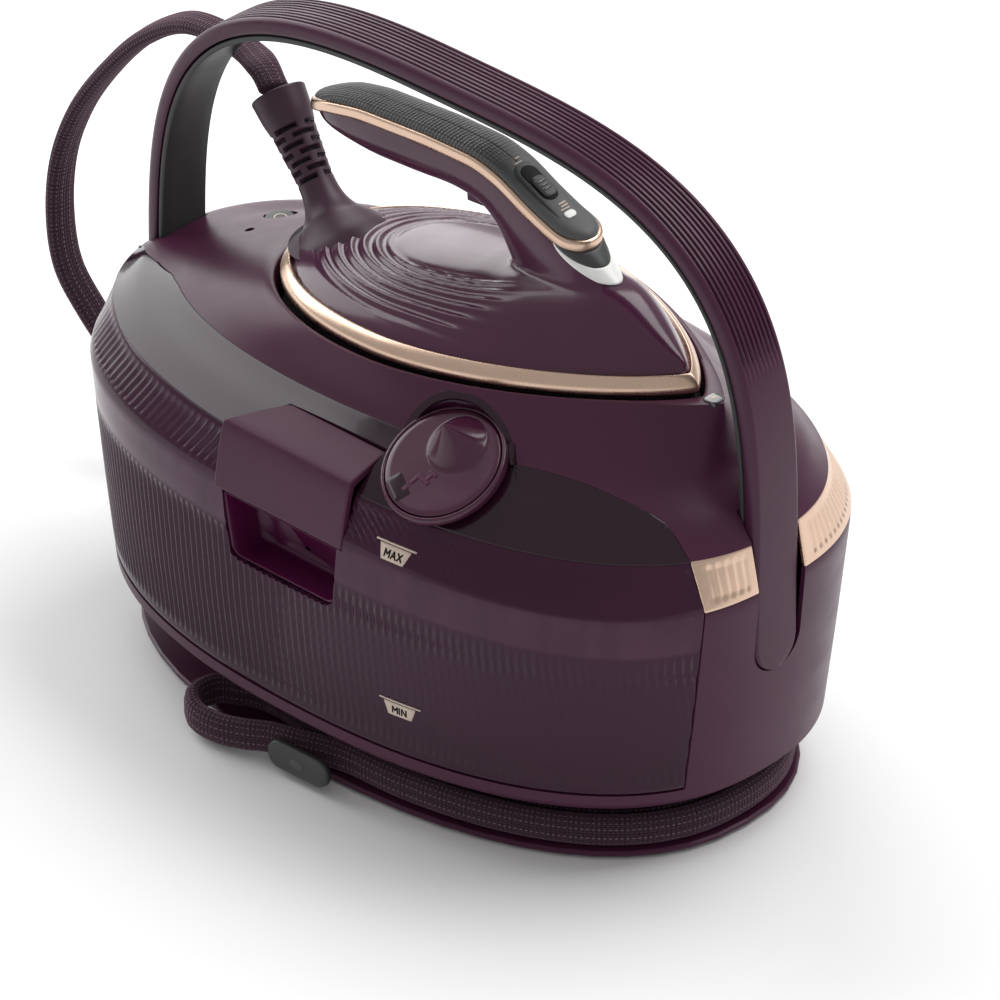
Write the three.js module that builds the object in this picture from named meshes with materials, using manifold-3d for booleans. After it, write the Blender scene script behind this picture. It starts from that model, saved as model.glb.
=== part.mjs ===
// Steam generator iron: a station with a removable water tank, a carry handle, a wound steam hose
// and an iron that rests on its deck. Millimetres, +Z up, +X towards the iron's nose, -Y towards the
// tank. The origin is on the floor, under the middle of the station.
import * as THREE from 'three';
import { mergeVertices } from 'three/addons/utils/BufferGeometryUtils.js';
import Module from 'manifold-3d';

const wasm = await Module();
wasm.setup();

// ---- driving dimensions ----
const GAP = 0.35; // clearance between neighbouring pieces
const WALL = 3; // thickness of the moulded covers
const RING_POINTS = 48; // corners of one oval section
const PEDESTAL = { a: 183.4, b: 108.9, n: 2.3, z0: 1.5, z1: 4.8 };
const BODY_FOOT = { a: 187, b: 115, n: 2.3, z: 32 };
const BODY_LOW = { a: 193.5, b: 121.2, n: 2.3, z: 38 };
const BODY_RIM = { a: 203.5, b: 119.8, n: 2.6, z: 146.6 };
const BODY_TOP = { a: 199, b: 110.5, n: 2.3, z: 170.2 };
const DECK_SEAM = { a: 172, b: 80, n: 2.2, z: 190, slope: 0.05 };
const DECK_RIM = { out: 5, below: -3, nose: 11 }; // outside the iron, and below its gold skirt
const TANK = { z0: 44, back: -42, left: -20.5, right: -46 }; // floor, and where its rear wall runs
const ARCH = {
  span: 200.3, base: 153.6, rise: 182.9, power: 3.13, end: 97, width: 30.4, shell: 8.3, thick: 12,
};
const CHANNEL = { half: 16.8, depth: 187.6, floor: 95.4 }; // the slot in each end for a handle leg
const IRON = { x: 23, z: 218, tilt: 4.5, length: 252, width: 134, widest: 0.57 };
const HOSE = { wide: 16.5, thick: 9, z: 13.5 };

// ---- geometry helpers ----
function oval({ a, b, n = 2.3, cx = 0, cy = 0 }, points = RING_POINTS) {
  const out = [];
  for (let i = 0; i < points; i += 1) {
    const t = (i / points) * 2 * Math.PI;
    const c = Math.cos(t);
    const s = Math.sin(t);
    const x = cx + a * Math.sign(c) * Math.abs(c) ** (2 / n);
    out.push([x, cy + b * Math.sign(s) * Math.abs(s) ** (2 / n)]);
  }
  return out;
}

const inset = (ring, by, z = ring.z) => ({ ...ring, a: ring.a - by, b: ring.b - by, z });
const heightOn = (ring, x) => ring.z + (ring.slope ?? 0) * (x - (ring.cx ?? 0));

// A closed solid through sections that all have the same number of [x, y, z] points.
function loftSections(sections) {
  const count = sections[0].length;
  const positions = sections.flat(2);
  const index = [];
  for (let k = 0; k < sections.length - 1; k += 1) {
    for (let i = 0; i < count; i += 1) {
      const p = k * count + i;
      const q = k * count + ((i + 1) % count);
      index.push(p, q, q + count, p, q + count, p + count);
    }
  }
  for (const [k, flip] of [[0, true], [sections.length - 1, false]]) {
    const middle = positions.length / 3;
    const centre = [0, 1, 2].map((c) => sections[k].reduce((sum, p) => sum + p[c], 0) / count);
    positions.push(...centre);
    for (let i = 0; i < count; i += 1) {
      const p = k * count + i;
      const q = k * count + ((i + 1) % count);
      index.push(...(flip ? [middle, q, p] : [middle, p, q]));
    }
  }
  const geometry = new THREE.BufferGeometry();
  geometry.setAttribute('position', new THREE.Float32BufferAttribute(positions, 3));
  geometry.setIndex(index);
  return geometry;
}

const loft = (rings) => loftSections(rings.map((r) => oval(r).map(([x, y]) => [x, y, heightOn(r, x)])));

function prism(points, z0, z1) {
  const shape = new THREE.Shape(points.map(([x, y]) => new THREE.Vector2(x, y)));
  return new THREE.ExtrudeGeometry(shape, { depth: z1 - z0, bevelEnabled: false }).translate(0, 0, z0);
}

// A side profile in X and Z, drawn out to half a width each way along Y.
const sideProfile = (points, half) => prism(points, -half, half).rotateX(Math.PI / 2);

const box = (x0, x1, y0, y1, z0, z1) => new THREE.BoxGeometry(x1 - x0, y1 - y0, z1 - z0)
  .translate((x0 + x1) / 2, (y0 + y1) / 2, (z0 + z1) / 2);

const upright = (radius, height, sides = 32) => new THREE.CylinderGeometry(radius, radius, height, sides)
  .rotateX(Math.PI / 2);

function solid(geometry) {
  const bare = geometry.clone();
  bare.deleteAttribute('normal');
  bare.deleteAttribute('uv');
  const merged = mergeVertices(bare, 1e-4);
  return new wasm.Manifold(new wasm.Mesh({
    numProp: 3,
    vertProperties: merged.attributes.position.array,
    triVerts: new Uint32Array(merged.index.array),
  }));
}

function geometryOf(body) {
  const mesh = body.getMesh();
  const geometry = new THREE.BufferGeometry();
  geometry.setAttribute('position', new THREE.BufferAttribute(mesh.vertProperties, 3));
  geometry.setIndex(new THREE.BufferAttribute(mesh.triVerts, 1));
  geometry.computeVertexNormals();
  return geometry;
}

const cut = (first, ...others) => others.reduce((left, other) => left.subtract(other), first);

// ---- colours ----
const finish = (color, roughness, metalness = 0) => ({ color, roughness, metalness });
const AUBERGINE = finish(0x45283a, 0.38);
const SATIN = finish(0x482d3c, 0.45);
const SMOKE = finish(0x5a3c49, 0.12);
const GOLD = finish(0xcfae98, 0.3, 0.9);
const GREY = finish(0x3e3f3f, 0.5);
const RUBBER = finish(0x26242a, 0.8);
const WHITE = finish(0xf4f4f2, 0.3);
const STEEL = finish(0xb9bcc0, 0.3, 0.9);
const TEXTILE = finish(0x35242e, 0.9);
const BOARD = finish(0x2f6b45, 0.6);

const station = new THREE.Group();
const root = new THREE.Group();
root.add(station);

function add(name, geometry, look, parent = station) {
  const mesh = new THREE.Mesh(geometry, new THREE.MeshStandardMaterial(look));
  mesh.name = name;
  parent.add(mesh);
  return mesh;
}
const addSolid = (name, body, look, parent = station) => add(name, geometryOf(body), look, parent);

// ---- station: shared cutters ----
const bodyRings = [BODY_FOOT, BODY_LOW, { ...BODY_LOW, a: 198.5, b: 121.4, n: 2.4, z: 85 }, BODY_RIM];

// The outline that divides the tank from the housing, moved back (+) or forward (-) by a clearance.
function tankOutline(by) {
  return [
    [-240, TANK.left + by], [-182, TANK.left + by], [-156, TANK.back + by], [150, TANK.back + by],
    [170, TANK.right + by], [240, TANK.right + by], [240, -160], [-240, -160],
  ];
}

// The slot for a handle leg, in both ends at once, grown by a margin.
function legChannels(margin) {
  const { half, depth, floor } = CHANNEL;
  const r = half + margin;
  const pair = [-1, 1].map((side) => {
    const inner = side * (depth - margin);
    const outer = side * 240;
    const low = Math.min(inner, outer);
    const high = Math.max(inner, outer);
    const slot = solid(box(low, high, -r, r, floor + half, 300));
    const end = solid(upright(r, high - low, 24).rotateY(Math.PI / 2)
      .translate((low + high) / 2, 0, floor + half));
    return slot.add(end);
  });
  return pair[0].add(pair[1]);
}

// The iron's outline, grown by a margin, from its nose at t = 0 round to its heel and back.
function ironOutline(margin, noseExtra = 0) {
  const { length, width, widest } = IRON;
  const front = widest * length;
  const widestX = length / 2 - front;
  const half = width / 2 + margin;
  return Array.from({ length: RING_POINTS }, (_, i) => {
    const t = (i / RING_POINTS) * 2 * Math.PI;
    const c = Math.cos(t);
    const s = Math.sin(t);
    const noseX = (front + margin) * Math.abs(c) ** 1.143 + noseExtra * Math.abs(c) ** 6;
    const heelX = (length - front + margin) * Math.abs(c) ** (2 / 2.1);
    const y = half * Math.sign(s) * Math.abs(s) ** (c > 0 ? 1.6 : 2 / 2.1);
    return [widestX + (c > 0 ? noseX : -heelX), y];
  });
}

const ironFrame = (geometry) => geometry.rotateY(THREE.MathUtils.degToRad(-IRON.tilt))
  .translate(IRON.x, 0, IRON.z);

// ---- station: base ----
function makeBase() {
  const { z0, z1 } = PEDESTAL;
  add('pedestal', loft([inset(PEDESTAL, 1.2, z0), { ...PEDESTAL, z: z0 + 1.2 },
    { ...PEDESTAL, z: z1 - 0.8 }, inset(PEDESTAL, 1, z1)]), AUBERGINE);
  for (const [x, y, name] of [[120, 50, 'front_right'], [120, -50, 'front_left'], [-120, 50, 'rear_right'],
    [-120, -50, 'rear_left']]) {
    const height = z0 - GAP;
    add(`foot_${name}`, upright(11, height, 24).translate(x, y, height / 2), RUBBER);
  }
  const core = { a: 160.5, b: 86, n: 2.3 };
  const gland = solid(box(-74, -38, 78, 92, HOSE.z - 11, HOSE.z + 11));
  const inlet = solid(box(57, 91, 60, 100, HOSE.z - 8, HOSE.z + 8));
  const block = solid(loft([{ ...core, z: z1 + GAP }, { ...core, z: BODY_FOOT.z - GAP }]));
  addSolid('hose_channel_core', cut(block, gland, inlet), AUBERGINE);
  add('hose_outlet_gland', box(-70, -46.4, 79, 91.6, HOSE.z - 8, HOSE.z + 10), GREY);
  add('mains_lead_gland', box(57.4, 90.6, 61, 70, HOSE.z - 7.6, HOSE.z + 7.6), GREY);
  const clip = solid(sideProfile([[-19, 0], [-13, 6.6], [14, 6.6], [20, 0], [14, -6.6], [-13, -6.6]], 1.7));
  addSolid('hose_clip', clip.translate([0, -119.6, 11.5]).rotate([0, 0, 2]), GREY);
}

// ---- station: housing, deck and trim ----
function makeHousing() {
  const collar = [inset(BODY_RIM, WALL), inset(BODY_TOP, WALL)];
  const outer = solid(loft([...bodyRings, ...collar]));
  const inner = solid(loft([inset(BODY_FOOT, WALL, BODY_FOOT.z + WALL), inset(bodyRings[2], WALL),
    inset(BODY_RIM, 2 * WALL, BODY_RIM.z), inset(BODY_TOP, 2 * WALL, BODY_TOP.z + 1)]));
  const bay = solid(prism(tankOutline(GAP), TANK.z0, 200));
  const shell = cut(outer, legChannels(0), cut(inner, legChannels(WALL)), bay);
  addSolid('lower_housing', shell, AUBERGINE);

  const line = tankOutline(GAP + 0.4).slice(1, 5);
  const back = tankOutline(GAP + 2.9).slice(1, 5).reverse();
  const wall = solid(prism([...line, ...back], TANK.z0 + GAP, BODY_RIM.z - 8));
  addSolid('tank_bay_wall', wall.intersect(solid(box(-180, 185, -60, 0, 0, 300))), AUBERGINE);

  const bandOut = solid(loft([{ ...BODY_RIM, z: BODY_RIM.z + GAP }, BODY_TOP]));
  const bandIn = solid(loft([inset(BODY_RIM, WALL - GAP), inset(BODY_TOP, WALL - GAP),
    inset(BODY_TOP, WALL - GAP, BODY_TOP.z + 3)]));
  const band = cut(bandOut, bandIn, legChannels(0), solid(prism(tankOutline(GAP), 0, 200)));
  addSolid('trim_band_front', band.intersect(solid(box(150, 240, -60, -5, 0, 300))), GOLD);
  addSolid('trim_band_rear', band.intersect(solid(box(-240, 240, 5, 160, 0, 300))), GOLD);
}

// The dome over the whole station, inside its outer surface by an offset.
function dome(by) {
  const rings = [{ ...BODY_TOP, z: BODY_TOP.z + GAP - Math.min(by, 1) },
    { ...DECK_SEAM, a: 190, b: 98, n: 2.25, z: 180 - by, slope: 0.02 },
    { ...DECK_SEAM, z: DECK_SEAM.z - by }];
  const lower = rings.map((r) => inset(r, by)).map((r) => oval(r).map(([x, y]) => [x, y, heightOn(r, x)]));
  const tilt = THREE.MathUtils.degToRad(IRON.tilt);
  const rim = ironOutline(DECK_RIM.out - by, DECK_RIM.nose).map(([x, y]) => [
    IRON.x + x * Math.cos(tilt), y, IRON.z + DECK_RIM.below - by + x * Math.sin(tilt)]);
  return solid(loftSections([...lower, rim]));
}

const DOOR = { x: 68, y: -84, z: 187, tilt: 32, radius: 29 };
const doorFrame = (geometry) => geometry.rotateX(THREE.MathUtils.degToRad(DOOR.tilt))
  .translate(DOOR.x, DOOR.y, DOOR.z);

function lidRegion(by) {
  const outside = solid(prism(tankOutline(by), 100, 260)).subtract(solid(loft([
    { ...DECK_SEAM, a: DECK_SEAM.a - by, b: DECK_SEAM.b - by, z: 100, slope: 0 },
    { ...DECK_SEAM, a: DECK_SEAM.a - by, b: DECK_SEAM.b - by, z: 260, slope: 0 }])));
  const lobe = solid(doorFrame(upright(DOOR.radius + 5 + by, 80, 40)));
  return outside.add(lobe);
}

function makeDeck() {
  const recess = solid(ironFrame(prism(ironOutline(DECK_RIM.out - 2), -60, 20)));
  const button = solid(upright(8.4, 60).translate(-150, 27, 190));
  const latch = solid(ironFrame(box(131, 141, -9, 9, -40, 20)));
  const lamp = solid(upright(2.4, 60, 16).translate(-146, 2, 190));
  const openings = [recess, legChannels(0), lidRegion(GAP / 2), button, latch, lamp];
  addSolid('deck_cover', cut(dome(0), dome(WALL), ...openings), SATIN);
  add('power_button', upright(8, 8).translate(-150, 27, 181.5), GREY);
  add('status_light', upright(2, 6, 16).translate(-146, 2, 182.5), finish(0xe0b040, 0.3));
  add('carry_lock_button', ironFrame(box(131.5, 140.5, -8.5, 8.5, -10, -0.5)), GREY);
  add('iron_rest', ironFrame(prism(ironOutline(DECK_RIM.out - 5), -20, -16)), GREY);
  add('rest_mat', ironFrame(prism(ironOutline(-6), -15.6, -13.6)), RUBBER);
}

// ---- station: water tank ----
function makeTank() {
  const parent = new THREE.Group();
  root.add(parent);
  const region = solid(prism(tankOutline(-GAP), TANK.z0 + GAP, 200));
  const outer = solid(loft([...bodyRings, { ...BODY_TOP, z: BODY_TOP.z - GAP }]));
  const tall = [...bodyRings, { ...BODY_TOP, z: BODY_TOP.z + 4 }];
  const inner = solid(loft(tall.map((r) => inset(r, WALL, r.z))));
  const innerRegion = solid(prism(tankOutline(-GAP - WALL), TANK.z0 + 4, 220));
  const pocket = solid(box(-46, 32, -150, -95, 108, 142));
  const pocketGrown = solid(box(-49, 35, -150, -92, 105, 145));
  const padSide = [[-86, 181.5], [-112, 175.5], [-117.5, 168], [-120.5, 143], [-114.5, 143], [-109, 168],
    [-90, 172.5]];
  const releasePad = (grow) => solid(new THREE.ExtrudeGeometry(
    new THREE.Shape(padSide.map(([y, z]) => new THREE.Vector2(y, z))),
    { depth: 85 + 2 * grow, bevelEnabled: grow > 0, bevelSize: grow, bevelThickness: 0.01,
      bevelSegments: 1 },
  ).rotateX(Math.PI / 2).rotateZ(Math.PI / 2).translate(-51 - grow, 0, 0)).intersect(solid(prism(
    [[-52 - grow, -130], [36, -130], [36, -80], [-23 - grow, -80], [-52 - grow, -114]], 120, 200)));
  const water = cut(inner.intersect(innerRegion), pocketGrown);
  const shell = cut(outer.intersect(region), water, pocket, releasePad(GAP));
  addSolid('tank_shell', shell, SMOKE, parent);

  const inLocal = (geometry, z) => solid(doorFrame(geometry.translate(0, 0, z)));
  const { radius } = DOOR;
  const seatWall = cut(inLocal(upright(radius + 3, 14, 40), 7), inLocal(upright(radius + 1, 20, 40), 8));
  const seat = inLocal(upright(radius + 3, 2.6, 40), 0.9).add(seatWall.intersect(dome(0)));
  const lid = cut(dome(0), dome(2.6)).intersect(lidRegion(-GAP));
  const open = cut(lid, inLocal(upright(radius + 1, 60, 40), 30)).add(seat);
  const neck = inLocal(upright(14, 60), 0);
  addSolid('tank_lid', cut(open, releasePad(GAP), neck, legChannels(GAP)), SMOKE, parent);
  addSolid('tank_release_pad', releasePad(0), SATIN, parent);
  const liner = solid(box(-45.6, 31.6, -118, -95.4, 108.4, 141.6));
  addSolid('finger_recess', cut(liner, solid(box(-43, 29, -130, -98, 110.5, 150))), AUBERGINE, parent);
  add('tank_outlet_valve', upright(9, 5, 24).translate(20, -56, TANK.z0 + 4 + GAP + 2.5), GREY, parent);

  const door = new THREE.Group();
  root.add(door);
  const disc = solid(upright(radius, 2.6, 40).translate(0, 0, 4));
  const cone = solid(new THREE.CylinderGeometry(2.5, 14, 16, 24).rotateX(Math.PI / 2)
    .translate(1, 10, 13.2));
  const plug = solid(upright(11, 8, 24).translate(0, 0, 0));
  addSolid('filler_door', solid(doorFrame(geometryOf(disc.add(cone).add(plug)))), SMOKE, door);
  const seal = new THREE.TorusGeometry(10.2, 1.2, 6, 20).translate(0, 0, -5.6);
  add('filler_seal', doorFrame(seal), RUBBER, door);
}

// ---- carry handle ----
// The arch's outer line at a fraction of its length, with its outward direction.
function archPoint(u) {
  const { span, base, rise, power, end } = ARCH;
  const leg = base - end;
  const total = leg * 2 + rise * 2.9;
  const legShare = leg / total;
  const side = u < 0.5 ? -1 : 1;
  const v = u < 0.5 ? u : 1 - u;
  if (v < legShare) return { x: side * span, z: end + v * total, nx: side, nz: 0 };
  const t = ((v - legShare) / (0.5 - legShare)) * (Math.PI / 2);
  const c = Math.max(Math.cos(t), 1e-6);
  const s = Math.max(Math.sin(t), 1e-6);
  const x = span * c ** (2 / power);
  const z = rise * s ** (2 / power);
  const gx = (x / span) ** (power - 1) / span;
  const gz = (z / rise) ** (power - 1) / rise;
  const g = Math.hypot(gx, gz);
  return { x: side * x, z: base + z, nx: (side * gx) / g, nz: gz / g };
}

// A bar along the arch, from depth r0 to r1 under the outer line. Its ends are rounded in width.
function archBar(r0, r1, half, round) {
  const sections = [];
  const steps = 60;
  const ends = [0.0004, 0.004, 0.011, 0.02, 0.033];
  const stations = [...ends, ...Array.from({ length: steps - 1 }, (_, i) => 0.05 + (0.9 * i) / (steps - 2)),
    ...ends.map((e) => 1 - e).reverse()];
  for (const u of stations) {
    const p = archPoint(u);
    const fromEnd = Math.min(1, (p.z - ARCH.end) / half);
    const w = half * Math.sqrt(Math.max(0.002, 1 - (1 - fromEnd) ** 2));
    const e = Math.min(round, w * 0.6);
    const outline = [[r0 + round, -w], [r1, -w], [r1, w], [r0 + round, w], [r0, w - e], [r0, -w + e]];
    sections.push(outline.map(([r, y]) => [p.x - r * p.nx, y, p.z - r * p.nz]));
  }
  return loftSections(sections);
}

function makeHandle() {
  const { width, shell, thick } = ARCH;
  addSolid('handle_shell', solid(archBar(0, shell, width / 2, 4)), AUBERGINE);
  addSolid('handle_liner', solid(archBar(shell + GAP, thick, width / 2 - 0.6, 1)), GREY);
}

// ---- inside the station ----
function makeInside() {
  const floor = BODY_FOOT.z + WALL + GAP;
  const boiler = new THREE.CapsuleGeometry(36, 78, 4, 18).rotateZ(Math.PI / 2).translate(-20, 34, floor + 48);
  add('boiler', boiler, STEEL);
  for (const [side, x] of [['left', -48], ['right', 8]]) {
    add(`boiler_bracket_${side}`, box(x - 6, x + 6, 8, 60, floor, floor + 11), STEEL);
  }
  add('boiler_seal_cap', upright(9, 8, 24).translate(-20, 34, floor + 89), finish(0xb08a4a, 0.35, 0.9));
  add('steam_valve', box(28, 44, 78, 94, floor + 2, floor + 26), finish(0xb08a4a, 0.35, 0.9));
  add('water_pump', upright(17, 44, 24).rotateY(Math.PI / 2).translate(92, 20, floor + 20), GREY);
  add('control_board', box(60, 130, 52, 54, floor + 4, floor + 54), BOARD);
}

// ---- iron ----
const ironLayer = (levels) => loftSections(
  levels.map(([by, z]) => ironOutline(-by).map(([x, y]) => [x, y, z])),
);

// The top of the shell over the base, by distance along the iron.
const CROWN = [[-126, 7], [-112, 11], [-90, 16], [-60, 22], [-25, 27], [10, 31], [45, 36], [75, 40],
  [88, 36], [100, 27], [113, 15], [124, 7]];

function crownHeight(x) {
  const k = CROWN.findIndex(([cx]) => cx >= x);
  if (k <= 0) return CROWN[k === 0 ? 0 : CROWN.length - 1][1];
  const [x0, h0] = CROWN[k - 1];
  const [x1, h1] = CROWN[k];
  return h0 + ((h1 - h0) * (x - x0)) / (x1 - x0);
}

function ironDome(by, floor, lower) {
  const ring = ironOutline(-by);
  const widthAt = (x) => Math.max(...ring.filter(([rx]) => Math.abs(rx - x) < 9).map(([, y]) => y), 1);
  const sections = [];
  for (let i = 0; i <= 22; i += 1) {
    const x = -121 + (i / 22) * 241;
    const w = widthAt(x) * (i === 0 || i === 22 ? 0.35 : 0.98);
    const h = Math.max(0.4, crownHeight(x) - lower - floor);
    const peak = x > 30 ? 1.15 : 1.7;
    const arc = [];
    for (let j = 0; j <= 12; j += 1) {
      const t = Math.PI * (j / 12);
      const c = Math.cos(t);
      arc.push([x, w * Math.sign(c) * Math.abs(c) ** 0.8, floor + h * Math.sin(t) ** peak]);
    }
    sections.push(arc);
  }
  return loftSections(sections);
}

// The grip from the side: the lower shell's outline, and the line that the gold ring follows.
const RING_LINE = [[-116, 74], [-98, 80], [-76, 83], [-31, 83], [0, 81], [15, 76], [30, 67], [46, 59],
  [62, 54]];
const GRIP_PROFILE = [[62, 53], [72, 43], [88, 36], [96, 26], [84, 14], [30, 12], [22, 18], [13, 30],
  [8, 40], [4, 48], [-4, 56], [-20, 59.5], [-48, 59], [-78, 60], [-103, 65], [-114, 71]];
const raised = (line, by) => line.map(([x, z]) => [x + by * 0.2, z + by]);
const strip = (line, low, high) => [...raised(line, low), ...raised(line, high).reverse()];

function makeIron() {
  const lift = new THREE.Group();
  root.add(lift);
  const put = (name, body, look) => addSolid(name, solid(ironFrame(geometryOf(body))), look, lift);
  put('soleplate', solid(ironLayer([[6, -12.5], [4, -12], [4, -7], [6, -6.5]])), STEEL);
  put('heat_skirt', solid(ironLayer([[3.5, -6.1], [2.2, -0.4]])), GREY);
  put('gold_skirt', solid(ironLayer([[0, 0], [0.6, 2.5], [5, 6]])), GOLD);

  const grip = solid(sideProfile([...RING_LINE.map(([x, z]) => [x, z - 0.3]), ...GRIP_PROFILE], 12.5));
  const trigger = solid(box(-14, 5, -5, 5, 52, 72));
  const dome = solid(ironDome(5.5, 6.4, 0));
  const hollow = solid(ironDome(9, 6.3, 3)).intersect(solid(box(-100, 40, -60, 60, 0, 60)));
  const bootSeat = bootSolid(GAP);
  const collarSeat = solid(sideProfile(lampLine(-0.3, 9), 13.5));
  put('iron_shell', cut(dome.add(grip), hollow, trigger, bootSeat, collarSeat), SATIN);
  const chamber = solid(box(-70, 30, -26, 26, 6.6, 14));
  put('steam_chamber', chamber, STEEL);
  put('grip_trim_ring', solid(sideProfile(strip(RING_LINE, 0.2, 3.6), 12.3)), GOLD);
  const slot = solid(gripFrame(box(-11, 11, -5, 5, -3, 20)));
  const lamp = solid(gripFrame(box(17, 21, -4, 4, -3, 20)));
  const pad = solid(sideProfile(strip(RING_LINE, 4, 9.5), 11.2)).subtract(slot).subtract(lamp);
  put('grip_pad', pad, GREY);
  put('panel_light', solid(gripFrame(box(17.4, 20.6, -3.6, 3.6, 1.2, 4.5))), WHITE);
  put('front_collar', solid(sideProfile(lampLine(0, 3.6), 12.8)), GREY);
  put('lamp_crescent', solid(sideProfile(lampLine(4, 8.6), 12.8)), WHITE);
  put('hose_boot', bootSolid(0), AUBERGINE);

  const slide = new THREE.Group();
  root.add(slide);
  addSolid('steam_slider', solid(ironFrame(gripFrame(box(-7, 7, -4.5, 4.5, 0.8, 5.6)))), GREY, slide);
  const pull = new THREE.Group();
  root.add(pull);
  addSolid('steam_trigger', solid(ironFrame(box(-13.5, 4.5, -4.6, 4.6, 55, 66))), SATIN, pull);
}

// The sloping control panel on the grip: its own X runs down the slope, and its Z points out of it.
const gripFrame = (geometry) => geometry.rotateY(Math.atan2(8.5, 15)).translate(31, 0, 71.5);

// The band between two lines under the ring's front end, for the collar and the lamp.
function lampLine(low, high) {
  const at = (d) => [[56 + 0.55 * d, 52.5 - d], [66 + 0.75 * d, 50.5 - 0.75 * d],
    [76 + 0.2 * d, 54 - 0.6 * d]];
  return [...at(high), ...at(low).reverse()];
}

const bootFrame = (geometry) => geometry.rotateY(THREE.MathUtils.degToRad(-43))
  .rotateZ(THREE.MathUtils.degToRad(-15)).translate(-108, 0, 6.8);

function bootSolid(grow) {
  const profile = [[0, 2], [20, 2], [15, 7], [10, 15], [8.7, 24], [9.5, 34], [11.5, 52], [12, 56],
    [13.8, 72]];
  const wall = profile.map(([r, z]) => new THREE.Vector2(r ? r + grow : 0, z));
  const geometry = new THREE.LatheGeometry([...wall, new THREE.Vector2(0, 72)], 20);
  const above = solid(box(-260, 0, -80, 80, 7 - grow, 200));
  return solid(bootFrame(geometry.rotateX(Math.PI / 2))).intersect(above);
}

// ---- steam hose ----
// A curve through chosen points that carries the direction of the hose's wide side along it.
class HoseCurve extends THREE.CatmullRomCurve3 {
  constructor(points, wideDirections) {
    super(points.map((p) => new THREE.Vector3(...p)), false, 'centripetal');
    this.wide = new THREE.CatmullRomCurve3(wideDirections.map((w) => new THREE.Vector3(...w)));
  }

  computeFrenetFrames(segments) {
    const frames = { tangents: [], normals: [], binormals: [] };
    for (let i = 0; i <= segments; i += 1) {
      const tangent = this.getTangentAt(i / segments);
      const wide = this.wide.getPoint(i / segments).normalize();
      wide.addScaledVector(tangent, -wide.dot(tangent)).normalize();
      frames.tangents.push(tangent);
      frames.normals.push(wide);
      frames.binormals.push(new THREE.Vector3().crossVectors(tangent, wide));
    }
    return frames;
  }
}

function hoseTube(points, wideDirections, steps) {
  const section = new THREE.Shape();
  for (let i = 0; i < 10; i += 1) {
    const t = (i / 10) * 2 * Math.PI;
    const spot = [(HOSE.wide / 2) * Math.cos(t), (HOSE.thick / 2) * Math.sin(t)];
    section[i ? 'lineTo' : 'moveTo'](...spot);
  }
  return new THREE.ExtrudeGeometry(section, { steps, bevelEnabled: false,
    extrudePath: new HoseCurve(points, wideDirections) });
}

// Points along the groove round the foot, clockwise from above, between two angles in degrees.
function groovePoints(by, from, to, count) {
  const ring = inset(PEDESTAL, by);
  return Array.from({ length: count }, (_, i) => {
    const t = THREE.MathUtils.degToRad(from + ((to - from) * i) / (count - 1));
    const c = Math.cos(t);
    const s = Math.sin(t);
    const x = ring.a * Math.sign(c) * Math.abs(c) ** (2 / ring.n);
    return [x, ring.b * Math.sign(s) * Math.abs(s) ** (2 / ring.n), HOSE.z];
  });
}

const UP = [0, 0, 1];
const FREE_ARC = [[-150, 17.5, 270.8], [-165, 25, 269.5], [-190, 30, 269], [-217, 33, 264],
  [-246, 34, 245], [-270, 33, 219], [-290, 31, 189], [-300, 28, 160], [-302, 26, 128], [-297, 26, 99],
  [-285, 29, 78], [-271, 33, 59], [-253, 36, 39], [-231, 37, 24], [-208, 37, 15.5], [-185, 40, 13.6]];
const BIGHT = [[-6, -110.2, 13.4], [-20, -114, 12.8], [-33, -120.5, 12], [-47, -124.5, 11.6],
  [-61, -123, 11.8], [-69.5, -114.5, 13], [-67, -102, 13.6], [-56, -95, 13.6]];

function makeHose() {
  // degrees round the foot where the hose's stretches meet
  const [enter, turn, back, out] = [156, -86, -102, 98];
  const meet = 1.3;
  const outer = groovePoints(6.2, enter, turn, 26);
  const inner = groovePoints(16.6, back, out, 24);
  const mouth = [-138.6, 12.3, 267];
  const arc = [mouth, ...FREE_ARC, groovePoints(6.2, enter + meet, turn, 2)[0]];
  const flat = [[-0.3, 1, 0], [-0.1, 1, 0], [0.1, 1, 0], [-0.2, 0.8, 0.5], UP];
  add('hose_free_arc', hoseTube(arc, flat, 22), TEXTILE);
  add('hose_outer_turn', hoseTube(outer, [UP, UP], 26), TEXTILE);
  const bight = [groovePoints(6.2, turn - meet, turn, 2)[0], ...BIGHT,
    groovePoints(16.6, back - meet, back, 2)[0]];
  add('hose_bight', hoseTube(bight, [UP, UP], 14), TEXTILE);
  const home = [...inner, [-38, 89.4, HOSE.z], [-45.6, 88, HOSE.z]];
  add('hose_inner_turn', hoseTube(home, [UP, UP], 24), TEXTILE);
}

root.name = 'steam_generator_iron';
makeBase();
makeHousing();
makeDeck();
makeInside();
makeTank();
makeHandle();
makeIron();
makeHose();

export default root;
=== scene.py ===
# Steam generator iron: the looks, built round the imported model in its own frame.
# Lengths in this script are millimetres until mesh() turns them into metres.
import math
import bpy
import bmesh
import numpy as np
from mathutils import Vector, Matrix


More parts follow.
